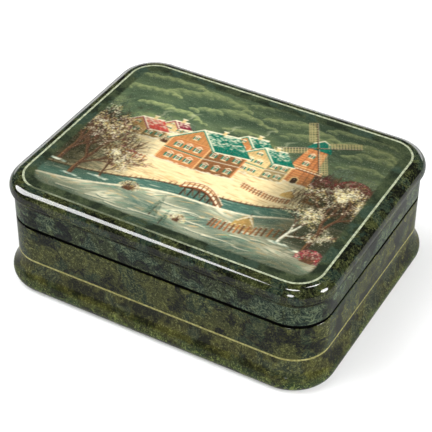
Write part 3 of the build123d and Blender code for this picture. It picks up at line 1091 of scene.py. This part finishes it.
def paintHouse(c, x, y, wide, tall, deep, wall, roof, floors, windows):
    # gable end at x, its long wall runs back to the right, both of logs with carved boards
    rng = c.rng
    g, lift = wide / 2, deep * 0.14
    eave, ridge = y + tall, y + tall + wide * 0.52
    near, far = x + g, x + (g + deep)
    shade = wall * 0.66

    def logs(x0, x1, rise, light, dark):
        def stroke(px, py):
            return (rng.uniform(1.5, 4), rng.uniform(0.3, 0.6), math.atan(rise / deep) + rng.normal(0, 0.05),
                    blend(light, dark, rng.random()), 0.4)
        c.brush([(x0, y), (x1, y + rise), (x1, eave + rise), (x0, eave)], light,
                int(abs(x1 - x0) * tall * 0.9), stroke, 0.1)
        for k in range(int(tall / 0.95)):
            h = y + 0.5 + k * 0.95
            c.line([(x0, h), (x1, h + rise)], 0.26, 0.26, dark * 0.7, 0.75)
            c.line([(x0, h + 0.34), (x1, h + 0.34 + rise)], 0.2, 0.2, blend(light, cream, 0.55), 0.6)
    logs(near, far, lift, shade, shade * 0.75)
    logs(x - g, x + g, 0, wall, wall * 0.75)
    c.patch([(x - g, eave), (x + g, eave), (x, ridge)], blend(wall, ochre, 0.4) * 0.92, 0.1)
    for k in range(-4, 5):
        t = k / 4.6
        peak = eave + (1 - abs(t)) * (ridge - eave) * 0.95
        c.upright(x + t * g, eave + 0.2, peak, 0.22, wall * 0.6, 0.7)
    # corner posts
    for px in (x - g, x + g, far):
        up = lift if px == far else 0
        c.upright(px, y + up, eave + up, 0.75, blend(wall, cream, 0.7 if px != far else 0.2), 0.95)
        for k in range(int(tall / 1.3)):
            c.dab(px, y + up + 0.7 + k * 1.3, 0.5, 0.5, 0.8, rust, 0.8)
    # storeys, with a carved board between them
    floor = tall / floors
    for f in range(floors):
        base = y + f * floor
        if f:
            for k in range(int(wide / 0.9)):
                c.dab(x - g + 0.45 + k * 0.9, base - 0.1, 0.75, 0.55, 0, frost, 0.95)
            c.level(x - g, x + g, base + 0.35, 0.4, teal)
            c.line([(near, base + 0.2), (far, base + 0.2 + lift)], 0.5, 0.5, frost * 0.85)
        step = wide / (windows + 1)
        for k in range(windows):
            paintWindow(c, x - g + step * (k + 1), base + floor * 0.48, min(0.95, step * 0.2), floor * 0.15)
        count = max(2, int(deep / 4.2))
        for k in range(count):
            t = (k + 0.6) / (count + 0.2)
            paintWindow(c, near + deep * t, base + floor * 0.46 + lift * t,
                        min(0.8, deep / count * 0.16), floor * 0.14, 0.1)
    paintWindow(c, x, eave + (ridge - eave) * 0.32, min(0.7, wide * 0.05), (ridge - eave) * 0.1)
    # the roof, its shingles and the snow on it
    over = wide * 0.1
    top = [(x, ridge + 0.3), (x + deep, ridge + lift + 0.3),
           (far + over, eave + lift - over * 0.7), (near + over, eave - over)]
    turn = -math.atan2(ridge - eave, g)
    bright, trim = (tealLight, teal) if roof[1] > roof[0] else (rose, crimson)

    def shingle(px, py):
        return 1.7, 0.34, turn + rng.normal(0, 0.1), blend(roof * 0.6, bright, rng.random() ** 1.7), 0.75
    c.brush(top, roof, int(wide * deep * 2.2), shingle, 0.12)
    for k in range(int(wide * deep * 0.75)):
        t, u = rng.random(), rng.random() ** 1.6 * 0.8
        px, py = x + (t * deep + u * g), ridge + t * lift - u * (ridge - eave) + 0.15
        c.dab(px, py, rng.uniform(0.8, 2.2), 0.5, lift / deep, frost * rng.uniform(0.84, 1.0), 0.8)
    c.line([top[3], top[2]], 0.6, 0.6, frost)
    c.line([(x - g - over, eave - over), (x, ridge + 0.2), top[3]], 1.0, 1.0, trim)
    scallops = int(wide * 1.6)
    for k in range(scallops):
        t = (k + 0.5) / scallops * 2 - 1
        c.dab(x + t * (g + over), eave - over + (1 - abs(t)) * (ridge - eave + over) - 0.35, 0.42, 0.42, 0,
              frost, 0.95)
    c.line([(x - g - over, eave - over + 0.5), (x, ridge + 0.75), (near + over, eave - over + 0.5)],
           0.55, 0.55, frost)
    c.line([(x, ridge + 0.55), (x + deep, ridge + lift + 0.55)], 0.7, 0.7, frost)
    # the chimney, its smoke and the snow at the foot of the walls
    cx, cy = x + deep * 0.55, ridge + lift * 0.55
    c.box(cx - 0.75, cx + 0.75, cy, cy + 2.4, cream * 0.9, 0.1)
    c.level(cx - 1.0, cx + 1.0, cy + 2.6, 0.6, frost)
    for k in range(20):
        t = k / 19
        c.dab(cx + t * 3 + math.sin(t * 7) * 0.9, cy + 3.2 + t * 6, 1.4 + t * 2.4, 0.6 + t * 0.9,
              0.9 + math.sin(t * 6) * 0.6, tone(176, 182, 150), 0.24 * (1 - 0.6 * t))
    for k in range(int((wide + deep) * 2.4)):
        t = rng.uniform(-0.05, 1.05)
        px = x - g + t * (wide + deep)
        up = max(0, t - wide / (wide + deep)) / (deep / (wide + deep)) * lift
        c.dab(px, y + up + rng.normal(-0.1, 0.3), rng.uniform(1.2, 2.6), 0.7, rng.normal(0, 0.1),
              frost * rng.uniform(0.82, 1.0), 0.8)


def paintMill(c, x, y, tall):
    rng = c.rng
    w0, w1, top = tall * 0.2, tall * 0.115, y + tall * 0.7

    def plank(px, py):
        return (rng.uniform(1, 2.6), 0.4, math.pi / 2 + rng.normal(0, 0.06),
                blend(orange, brown, max(0, (px - x) / w0) * 0.8 + 0.25 * rng.random()), 0.55)
    c.brush([(x - w0, y), (x + w0, y), (x + w1, top), (x - w1, top)], orange,
            int(tall * w0 * 3), plank, 0.12)
    for k in range(17):
        t = k / 16
        half, h = w0 + (w1 - w0) * t, y + tall * 0.7 * t
        c.level(x - half, x + half, h, 0.26, brown, 0.7)
        c.level(x - half, x + half * 0.2, h + 0.4, 0.2, blend(orange, cream, 0.7), 0.75)
    for t in (-0.98, -0.45, 0.2, 0.6, 0.98):
        c.line([(x + w0 * t, y), (x + w1 * t, top)], 0.35, 0.28, blend(rust, umber, 0.3 + 0.3 * t), 0.8)
    gallery, left, right = y + tall * 0.27, x - w0 * 1.15, x + w0 * 1.15
    c.level(left, right, gallery, 0.9, brown)
    c.level(left, right, gallery + 0.55, 0.5, frost)
    for k in range(11):
        c.upright(x - w0 * 1.1 + w0 * 2.2 * k / 10, gallery, gallery + 1.9, 0.3, rust)
    c.level(left, right, gallery + 2.0, 0.34, cream)
    cap = [(x - w1 * 1.35, top), (x + w1 * 1.35, top),
           (x + w1 * 1.0, top + tall * 0.1), (x + w1 * 0.3, top + tall * 0.2),
           (x - w1 * 0.3, top + tall * 0.2), (x - w1 * 1.0, top + tall * 0.1)]

    def shingle(px, py):
        return (1.4, 0.32, 1.0 - 1.2 * (px - x) / w1 + rng.normal(0, 0.2),
                blend(tealDeep, tealLight, max(0, 0.6 - (px - x) / w1 * 0.5) * rng.random()), 0.75)
    c.brush(cap, teal, 150, shingle, 0.12)
    c.line([(x - w1 * 1.0, top + tall * 0.11), (x - w1 * 0.2, top + tall * 0.205),
            (x + w1 * 0.5, top + tall * 0.17)], 0.7, 0.5, frost)
    c.patch([(x - 1.3, y), (x + 1.3, y), (x + 1.3, y + 3.4), (x, y + 4.3), (x - 1.3, y + 3.4)], umber, 0.1)
    c.line([(x - 1.5, y), (x - 1.5, y + 3.5), (x, y + 4.6), (x + 1.5, y + 3.5), (x + 1.5, y)],
           0.4, 0.4, cream)
    for h in (0.4, 0.56):
        paintWindow(c, x - w1 * 0.2, y + tall * h, 0.7, 0.95)
    # four sails of cream laths, turned off the upright
    hubX, hubY = x - w1 * 0.25, top + tall * 0.04
    reach, wide = tall * 0.5, tall * 0.095
    for k in range(4):
        a = math.radians(27 + 90 * k)
        ca, sa = math.cos(a), math.sin(a)
        c.line([(hubX, hubY), (hubX + ca * reach, hubY + sa * reach)], 0.75, 0.5, umber)
        for m in range(12):
            t = 0.25 + 0.75 * m / 11
            px, py = hubX + ca * reach * t, hubY + sa * reach * t
            c.line([(px, py), (px - sa * wide, py + ca * wide)], 0.3, 0.26, cream * 0.95)
        for m in (0.35, 0.7, 1.0):
            c.line([(hubX + ca * reach * 0.25 - sa * wide * m, hubY + sa * reach * 0.25 + ca * wide * m),
                    (hubX + ca * reach - sa * wide * m, hubY + sa * reach + ca * wide * m)],
                   0.28, 0.28, cream * 0.85)
        c.line([(hubX + 0.3, hubY + 0.3), (hubX + ca * reach + 0.2, hubY + sa * reach + 0.3)],
               0.24, 0.2, frost, 0.9)
    c.dab(hubX, hubY, 1.7, 1.7, 0, umber)
    c.dab(hubX - 0.2, hubY + 0.2, 0.7, 0.7, 0, gold)
    for k in range(60):
        c.dab(x + rng.uniform(-w0 - 3, w0 + 3), y + rng.normal(-0.1, 0.35), 2.4, 0.8, rng.normal(0, 0.15),
              frost * rng.uniform(0.82, 1.0), 0.8)


def paintFence(c, points, tall, gap):
    rng = c.rng
    path = smoothPath(points)
    walked = 0.0
    for k in range(len(path) - 1):
        (x0, y0), (x1, y1) = path[k], path[k + 1]
        for h in (tall * 0.35, tall * 0.75):
            c.line([(x0, y0 + h), (x1, y1 + h)], 0.36, 0.36, brown)
            c.line([(x0, y0 + h + 0.24), (x1, y1 + h + 0.24)], 0.22, 0.22, frost, 0.9)
        walked += math.dist(path[k], path[k + 1])
        while walked > gap:
            walked -= gap
            lean = rng.normal(0, 0.1)
            c.line([(x0, y0 - 0.2), (x0 + lean, y0 + tall)], gap * 0.55, gap * 0.45,
                   blend(orange, brown, rng.random()))
            c.line([(x0 + gap * 0.2, y0 - 0.2), (x0 + gap * 0.2 + lean, y0 + tall)], 0.2, 0.16, umber, 0.8)
            c.dab(x0 + lean, y0 + tall + 0.15, gap * 0.8, 0.6, 0, frost)


def paintBridge(c, a, b, rise):
    n = 20
    deck = [(a[0] + (b[0] - a[0]) * k / n, a[1] + (b[1] - a[1]) * k / n + rise * math.sin(math.pi * k / n))
            for k in range(n + 1)]
    for k in range(2, n - 1, 3):
        x, y = deck[k]
        c.line([(x, y), (x, y - rise * 0.9 - 2.0)], 0.9, 0.7, umber)
        c.line([(x, y - 1.0), (x + 1.9, y - rise * 0.8 - 1.4)], 0.4, 0.4, brown)
    c.line(deck, 2.0, 2.0, rust)
    c.line([(x, y + 0.6) for x, y in deck], 0.8, 0.8, frost)
    c.line([(x, y - 0.8) for x, y in deck], 0.45, 0.45, umber)
    for k in range(0, n + 1, 2):
        x, y = deck[k]
        c.line([(x, y), (x, y + 3.4)], 0.5, 0.42, brown)
        c.dab(x, y + 3.6, 0.9, 0.6, 0, frost)
    for h, w, color in ((3.0, 0.5, rust), (3.3, 0.3, frost), (1.8, 0.35, rust)):
        c.line([(x, y + h) for x, y in deck], w, w, color)


def paintTree(c, x, y, tall, lean, tones, dabs, spread, forks, birch=False, shadow=None):
    rng = c.rng
    tips = []

    def grow(px, py, angle, length, width, level):
        points = [(px, py)]
        for k in range(4):
            angle += rng.normal(0, 0.07)
            px, py = px + math.cos(angle) * length / 4, py + math.sin(angle) * length / 4
            points.append((px, py))
        bark = blend(umber, brown, 0.05 + 0.3 * rng.random())
        if birch and level < 2:
            c.line(points, width, width * 0.75, tone(204, 202, 178))
            c.line([(q[0] + width * 0.3, q[1]) for q in points], width * 0.3, width * 0.25,
                   tone(112, 112, 92), 0.8)
            for q in points[1:]:
                c.dab(q[0] - width * 0.1, q[1] + rng.uniform(-0.6, 0.6), width * 0.8, 0.34, 0.1, umber, 0.8)
        else:
            c.line(points, width, width * 0.68, bark)
            if width > 0.5:
                c.line([(q[0] - width * 0.25, q[1]) for q in points], width * 0.25, width * 0.2,
                       blend(brown, ochre, 0.45), 0.5)
        if level > 1:
            tips.extend(points[1 if level > 2 else 3:])
        if level < forks:
            for k in range(3):
                turn = (k - 1) * spread + rng.normal(0, spread * 0.35)
                start = points[(2, 4, 3)[k]]
                grow(start[0], start[1], angle + turn + (math.pi / 2 - angle) * 0.1,
                     length * rng.uniform(0.62, 0.8), max(0.17, width * 0.62), level + 1)
    if shadow is not None:
        for k in range(140):
            c.dab(x + rng.normal(tall * lean * 0.8, tall * 0.17), y + tall * rng.uniform(0.45, 0.95),
                  rng.uniform(2, 5), rng.uniform(1, 2), rng.uniform(0, 3), shadow, 0.16, 0.9)
    grow(x, y, math.pi / 2 - lean, tall * 0.27, tall * 0.036, 0)
    order = rng.permutation(len(tips))
    for k in range(dabs // 4):
        tx, ty = tips[order[k % len(order)]]
        color = tones[rng.integers(len(tones))]
        for m in range(4):
            c.dab(tx + rng.normal(0, 0.7), ty + rng.normal(0, 0.6), rng.uniform(0.4, 0.8),
                  rng.uniform(0.28, 0.45), rng.uniform(0, 3), color * rng.uniform(0.85, 1.04), 0.9, 0.35)
    for k in range(22):
        c.dab(x + rng.normal(0, 2.0), y + rng.normal(0, 0.3), 2.6, 0.7, rng.normal(0, 0.1),
              blend(snowShade, frost, rng.random()), 0.8)


def paintBush(c, x, y, wide, tall, tones, count=160):
    rng = c.rng
    for k in range(count // 3):
        a = rng.uniform(0.35, math.pi - 0.35)
        c.line([(x + rng.normal(0, wide * 0.1), y), (x + math.cos(a) * wide * 0.5, y + math.sin(a) * tall)],
               0.26, 0.12, blend(umber, brown, rng.random()), 0.85)
    for k in range(count):
        a, r = rng.uniform(0.1, math.pi - 0.1), 0.35 + 0.65 * math.sqrt(rng.random())
        color = tones[rng.integers(len(tones))] * rng.uniform(0.85, 1.05)
        c.dab(x + math.cos(a) * r * wide * 0.5, y + math.sin(a) * r * tall, rng.uniform(0.45, 0.9),
              rng.uniform(0.3, 0.5), rng.uniform(0, 3), color, 0.88)


def paintStack(c, x, y, wide, tall):
    # a haystack with a cap of snow
    rng = c.rng
    shape = [(x - wide / 2, y), (x + wide / 2, y), (x + wide * 0.42, y + tall * 0.5),
             (x + wide * 0.12, y + tall), (x - wide * 0.12, y + tall), (x - wide * 0.42, y + tall * 0.5)]

    def straw(px, py):
        return (rng.uniform(0.8, 2.2), 0.26, math.pi / 2 + (px - x) / wide * 1.4 + rng.normal(0, 0.15),
                blend(gold, brown, rng.random() * 0.7 + 0.3 * (px - x) / wide), 0.8)
    c.brush(shape, ochre, int(wide * tall * 6), straw, 0.15)
    c.line([(x, y + tall * 0.8), (x, y + tall * 1.25)], 0.3, 0.2, umber)
    for k in range(int(wide * 9)):
        t = rng.normal(0, 0.2)
        c.dab(x + t * wide, y + tall * (1.0 - 1.3 * abs(t)) + rng.normal(0, 0.2), 1.3, 0.55, -t * 2.2,
              frost * rng.uniform(0.86, 1.0), 0.85)


def paintPicture():
    c = Canvas(picture["halfX"], picture["halfY"], picture["fine"])
    rime = (frost, frost, gold, tone(222, 212, 168), tone(168, 172, 132))
    berries = (crimson, poppy, crimson * 1.15, frost, crimson, rose)
    lastFruit = (frost, gold, tone(222, 212, 168), umber, crimson, gold, frost, brown)
    paintSky(c)
    paintFarForest(c)
    paintSlope(c)
    for x, tall in ((-61, 15), (-56.5, 19), (-51.5, 15), (-47.5, 11)):
        paintFir(c, x, hillTop(x) - 2 - c.rng.random(), tall, 0.5)
    for x, tall in ((61, 14), (55.5, 18), (51, 13), (47, 10)):
        paintFir(c, x, hillTop(x) - 2.5 - c.rng.random() * 2, tall, 0.45)
    # the village along the slope, far houses first
    paintHouse(c, -31, 9.5, 6.5, 4.0, 6.0, cream, crimson, 1, 1)
    paintHouse(c, 1, 10.0, 9.5, 7.2, 9.0, orange, teal, 1, 2)
    paintThicket(c, 38, 64, 2, 12, 420, (umber, brown, crimson * 0.7, tone(70, 50, 40)), 0.05)
    paintBush(c, 55, 5, 20, 12, (crimson, poppy * 0.8, crimson * 0.8, umber, brown, rose), 620)
    paintBush(c, 43, 4, 11, 8, (crimson, brown, umber, rose), 260)
    paintMill(c, 31.0, 3.0, 36.0)
    paintBush(c, 18, 8, 7, 4.5, rime)
    paintHouse(c, -44.5, 1.0, 10.5, 6.5, 9.5, ochre, poppy, 1, 2)
    paintHouse(c, 11, -0.5, 12.5, 12.5, 9.5, cream, teal, 2, 2)
    paintBush(c, -27.5, 1.5, 8, 5.5, rime)
    paintHouse(c, -17, -9.0, 18.0, 16.5, 16.0, orange, teal, 2, 3)
    paintHouse(c, 45, -6.0, 10.0, 6.5, 9.0, rust, crimson, 1, 2)
    paintStack(c, 33.5, -6.5, 6.0, 6.0)
    paintThicket(c, 34, 63, -10, -1, 150, (umber, brown, tone(70, 50, 40)), 0.1)
    paintThicket(c, -63, -34, -24, -4, 330, (umber, brown, tone(74, 70, 48)), 0.1)
    paintBush(c, 58, -6, 11, 8, berries, 260)
    paintBush(c, 52, -9, 9, 6, berries, 200)
    paintFence(c, [(-62, -14), (-50, -14.5), (-40, -13.5), (-28, -14)], 4.0, 1.2)
    paintFence(c, [(14, -9), (22, -10.5), (30, -11), (36, -9.5)], 3.2, 1.1)
    paintRiver(c)
    paintBridge(c, (-6, -20.5), (14, -26.5), 4.5)
    paintNearBank(c)
    paintBush(c, -24, -33.5, 10, 6.0, rime, 190)
    paintStack(c, 27, -33, 9.5, 9.0)
    paintFence(c, [(14, -36.5), (24, -36), (36, -32), (48, -27)], 5.0, 1.6)
    glaze(c)
    # bare and frosted trees with a little last fruit at the left, frosted trees at the right
    paintTree(c, -50, -36, 62, 0.02, lastFruit, 1500, 0.42, 5, shadow=tone(50, 44, 34))
    paintTree(c, -38, -32, 30, -0.12, rime, 640, 0.44, 4)
    paintTree(c, -59, -30, 58, -0.10, rime, 1100, 0.42, 5, shadow=tone(46, 50, 36))
    paintTree(c, 54, -34, 66, 0.04, rime, 2300, 0.40, 5, shadow=tone(48, 50, 38))
    paintTree(c, 43, -33, 40, 0.14, rime, 1000, 0.42, 4, birch=True)
    paintBush(c, 58, -38, 12, 8, berries, 300)
    paintBush(c, 3, -41, 8, 4.5, rime, 140)
    paintFir(c, -8, -42, 13, 0.65)
    paintFir(c, -2, -45, 9, 0.65)
    return c


def edgeVeil(c):
    # how far the painting has faded into the lacquer round it, 0 inside and 1 at the edge
    r = picture["corner"]
    qx, qy = np.abs(c.xs[None, :]) - (c.halfX - r), np.abs(c.ys[:, None]) - (c.halfY - r)
    d = np.hypot(np.maximum(qx, 0), np.maximum(qy, 0)) + np.minimum(np.maximum(qx, qy), 0) - r
    return np.clip(1 + d / picture["fade"], 0, 1) ** 1.4


def makePictureField():
    c = paintPicture()
    veil = edgeVeil(c)
    soft = c.color.copy()
    soft[1:-1] = (c.color[:-2] + 2 * c.color[1:-1] + c.color[2:]) / 4
    soft[:, 1:-1] = (soft[:, :-2] + 2 * soft[:, 1:-1] + soft[:, 2:]) / 4
    soft = np.clip(soft, 0, 1)
    soft = linear(soft)
    nx, ny = picture["across"], picture["up"]
    top, low = levels["top"] * mm, (levels["top"] - lidTop["recess"]) * mm
    r = picture["corner"]
    points, places = [], []
    for j in range(ny):
        y = -c.halfY + 2 * c.halfY * j / (ny - 1)
        over = max(0.0, abs(y) - (c.halfY - r))
        reach = c.halfX - r + math.sqrt(max(0.0, r * r - over * over))
        for i in range(nx):
            x = -reach + 2 * reach * i / (nx - 1)
            points.append((x * mm, y * mm, top))
            places.append(((x + c.halfX) * c.fine, (y + c.halfY) * c.fine))
    faces = [(j * nx + i, j * nx + i + 1, (j + 1) * nx + i + 1, (j + 1) * nx + i)
             for j in range(ny - 1) for i in range(nx - 1)]
    rim = (list(range(nx)) + [j * nx + nx - 1 for j in range(1, ny)]
           + [(ny - 1) * nx + i for i in range(nx - 2, -1, -1)] + [j * nx for j in range(ny - 2, 0, -1)])
    first = len(points)
    points += [(points[k][0], points[k][1], low) for k in rim]
    for k in range(len(rim)):
        n = (k + 1) % len(rim)
        faces.append((rim[n], rim[k], first + k, first + n))
    faces.append(tuple(first + k for k in reversed(range(len(rim)))))
    mesh = bpy.data.meshes.new("picture_field")
    mesh.from_pydata(points, [], faces)
    mesh.polygons.foreach_set("use_smooth", [True] * len(mesh.polygons))
    at = np.array(places)
    i0 = np.clip(at[:, 0].astype(int), 0, c.wide - 2)
    j0 = np.clip(at[:, 1].astype(int), 0, c.high - 2)
    u, v = (at[:, 0] - i0)[:, None], (at[:, 1] - j0)[:, None]
    paint = np.ones((len(points), 4), np.float32)
    paint[:first, :3] = between(soft, i0, j0, u, v)
    paint[first:, :3] = 0.02  # the picture's edge and underside are hidden
    fade = np.ones(len(points), np.float32)
    fade[:first] = between(veil[..., None], i0, j0, u, v)[:, 0]
    mesh.attributes.new("paint", "FLOAT_COLOR", "POINT").data.foreach_set("color", paint.ravel())
    mesh.attributes.new("veil", "FLOAT", "POINT").data.foreach_set("value", fade)
    mesh.materials.append(pictureLacquer())
    addPiece("pictureField", mesh, "lid", "picture", "picture_field")


def pictureLacquer():
    s = Shader("pictureLacquer")
    paint = s.node("ShaderNodeAttribute", "Color", {"attribute_name": "paint"})
    veil = s.node("ShaderNodeAttribute", "Fac", {"attribute_name": "veil"})
    bristle = s.noise(s.mapping(scale=(260, 900, 1)), 1.0, 4.0, 0.7, 0.6)
    grain = s.noise(s.coords, 1500.0, 3.0, 0.6)
    worked = s.mix(s.step(bristle, 0.3, 0.7, 0.0, 0.16), paint, (0.0, 0.0, 0.0, 1.0))
    worked = s.mix(s.step(grain, 0.55, 0.75, 0.0, 0.10), worked, (0.9, 0.86, 0.66, 1.0))
    ground = marbledColor(s, marginTones)
    ragged = s.math("ADD", veil, s.times(s.math("SUBTRACT", bristle, 0.5), 0.7))
    color = s.mix(s.step(ragged, 0.25, 0.8), worked, ground)
    s.set(color=color, rough=0.4, spec=0.0, coat=0.4, coatRough=0.08, ior=1.0,
          normal=s.bump(bristle, 0.15, 0.00004))
    return s.mat


makeLidWall()
makeNosingBand()
makeLidBoard()
makeLidLine()
makePictureField()
print("stage: lid made")


# Hinge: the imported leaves, pin and rivets, with their facets smoothed

hingeEdges = {"width": 0.12, "overDegrees": 50, "segments": 2, "sharp": 30}


def makeHingeMetal():
    for node, body in (("hinge_leaf_box", "box"), ("hinge_leaf_lid", "lid"), ("hinge_pin", "box"),
                       ("hinge_rivets_box", "box"), ("hinge_rivets_lid", "lid")):
        bm = bmesh.new()
        bm.from_mesh(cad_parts[node].data)
        bmesh.ops.remove_doubles(bm, verts=bm.verts, dist=weld)
        bmesh.ops.recalc_face_normals(bm, faces=bm.faces)
        for face in bm.faces:
            face.smooth = True
            face.material_index = 0
        plain = bpy.data.meshes.new(node)
        bm.to_mesh(plain)
        bm.free()
        plain.materials.append(hingeBrass)
        carrier = addObject("carrier", plain)
        broken = carrier.modifiers.new("brokenEdges", "BEVEL")
        broken.limit_method = "ANGLE"
        broken.angle_limit = math.radians(hingeEdges["overDegrees"])
        broken.width = hingeEdges["width"] * mm
        broken.segments = hingeEdges["segments"]
        mesh = meshOf(carrier)
        bpy.data.objects.remove(carrier)
        parts = node.split("_")
        addPiece(parts[0] + "".join(p.title() for p in parts[1:]), mesh, body, "brass", node,
                 sharp=hingeEdges["sharp"])


makeHingeMetal()
print("stage: hinge made")


# Floor, light and camera

floorLook = {"half": 6.0, "lit": (0.8, 0.8, 0.8, 1.0), "seen": (0.7, 0.7, 0.7, 1.0)}
floorGlow = {"From Min": 0.25, "From Max": 1.2, "To Min": 0.19, "To Max": 1.0}  # by the distance, in metres


def floorMaterial():
    # it lights the box as plain grey, and where it's looked at it glows up to white further out
    mat = bpy.data.materials.new("paleFloor")
    n = Nodes(ownTree(mat))
    away = n.inOrder("ShaderNodeVectorMath", n.node("ShaderNodeTexCoord", "Object"), operation="LENGTH")
    lift = n.node("ShaderNodeMapRange", "Result", Value=away.outputs["Value"], **floorGlow)
    glow = n.node("ShaderNodeEmission", "Emission", Color=white, Strength=lift)
    lit = n.node("ShaderNodeBsdfDiffuse", "BSDF", Color=floorLook["lit"])
    seen = n.node("ShaderNodeBsdfDiffuse", "BSDF", Color=floorLook["seen"])
    ray = n.add("ShaderNodeLightPath").outputs
    looked = n.math("MAXIMUM", n.math("MAXIMUM", ray["Is Camera Ray"], ray["Is Glossy Ray"]),
                    ray["Is Transmission Ray"])
    both = n.inOrder("ShaderNodeAddShader", seen, glow).outputs[0]
    chosen = n.inOrder("ShaderNodeMixShader", looked, lit, both).outputs[0]
    n.inOrder("ShaderNodeOutputMaterial", chosen)
    return mat


def makeFloor():
    r = floorLook["half"]
    mesh = bpy.data.meshes.new("floor")
    mesh.from_pydata([(-r, -r, 0), (r, -r, 0), (r, r, 0), (-r, r, 0)], [], [(0, 1, 2, 3)])
    mesh.materials.append(floorMaterial())
    addObject("floor", mesh)


air = {"lights": 0.5, "mirrored": 0.18}
# Name, place, size, watts and turn. The softboxes only light, the cards only draw highlights.
softboxes = (("keySoftbox", (-0.9, -0.5, 1.5), (1.4, 1.4), 36.0, 0.0),
             ("fillSoftbox", (0.8, -1.2, 1.0), (1.0, 1.0), 5.0, 0.0),
             ("sideSoftbox", (1.3, -0.15, 0.8), (1.0, 1.0), 22.0, 0.0))
# the first is a long oval seen end on, so that the highlight on the lid's edge tapers to the right
cards = (("nosingSoftbox", (-0.690, -0.310, 0.728), (1.02, 0.66), 60.0, 57.0),
         ("overheadCard", (0.03, -0.14, 1.0), (0.30, 0.20), 8.0, 0.0),
         ("frontCard", (0.24, -0.86, 0.45), (0.24, 0.34), 9.0, 0.0),
         ("rightCard", (0.90, 0.08, 0.42), (0.30, 0.40), 15.0, 0.0),
         ("backSweep", (-0.8, 1.7, 0.42), (3.6, 0.9), 44.0, 0.0),
         ("backCard", (0.02, 0.45, 0.92), (0.16, 0.16), 3.0, 0.0))
lampTarget = Vector((0, 0, 0.03))


def areaLamp(name, place, size, power, turn, gloss):
    data = bpy.data.lights.new(name, "AREA")
    data.shape = "ELLIPSE" if gloss else "RECTANGLE"
    data.size, data.size_y = size
    data.energy = power
    lamp = addObject(name, data)
    lamp.location = place
    lamp.rotation_mode = "QUATERNION"
    aim = (lampTarget - Vector(place)).to_track_quat("-Z", "Y")
    lamp.rotation_quaternion = aim @ Quaternion((0, 0, 1), math.radians(turn))
    lamp.visible_camera = False
    lamp.visible_diffuse = not gloss
    lamp.visible_glossy = gloss


def makeLight():
    world = bpy.data.worlds.new("studio")
    bpy.context.scene.world = world
    n = Nodes(ownTree(world))
    lights = n.node("ShaderNodeBackground", "Background", Color=white, Strength=air["lights"])
    mirrored = n.node("ShaderNodeBackground", "Background", Color=white, Strength=air["mirrored"])
    glossy = n.node("ShaderNodeLightPath", "Is Glossy Ray")
    chosen = n.inOrder("ShaderNodeMixShader", glossy, lights, mirrored).outputs[0]
    n.inOrder("ShaderNodeOutputWorld", chosen)
    for lamp in softboxes:
        areaLamp(*lamp, False)
    for lamp in cards:
        areaLamp(*lamp, True)


# fitted to the photo's gold lines, seam and outline: degrees, millimetres and pixels
cameraFit = {"azimuth": 28.956, "elevation": 38.682, "roll": 0.761, "distance": 602.48, "focal": 1446.18,
             "target": (-0.343, -2.148, 25.0), "frame": 432, "sensor": 36.0}


def makeCamera():
    c = cameraFit
    a, e, roll = (math.radians(c[k]) for k in ("azimuth", "elevation", "roll"))
    back = Vector((math.sin(a) * math.cos(e), -math.cos(a) * math.cos(e), math.sin(e)))
    right = Vector((math.cos(a), math.sin(a), 0))
    up = back.cross(right)
    x = right * math.cos(roll) + up * math.sin(roll)
    y = -right * math.sin(roll) + up * math.cos(roll)
    place = Vector(c["target"]) * mm + back * c["distance"] * mm
    data = bpy.data.cameras.new("camera")
    data.sensor_fit = "HORIZONTAL"
    data.sensor_width = c["sensor"]
    data.lens = c["focal"] / c["frame"] * c["sensor"]
    data.clip_start, data.clip_end = 0.01, 50.0
    camera = addObject("camera", data)
    camera.matrix_world = Matrix(((x.x, y.x, back.x, place.x), (x.y, y.y, back.y, place.y),
                                  (x.z, y.z, back.z, place.z), (0, 0, 0, 1)))
    bpy.context.scene.camera = camera


makeFloor()
makeLight()
makeCamera()
bpy.context.scene.view_settings.view_transform = "Standard"
print("stage: floor, light and camera made")
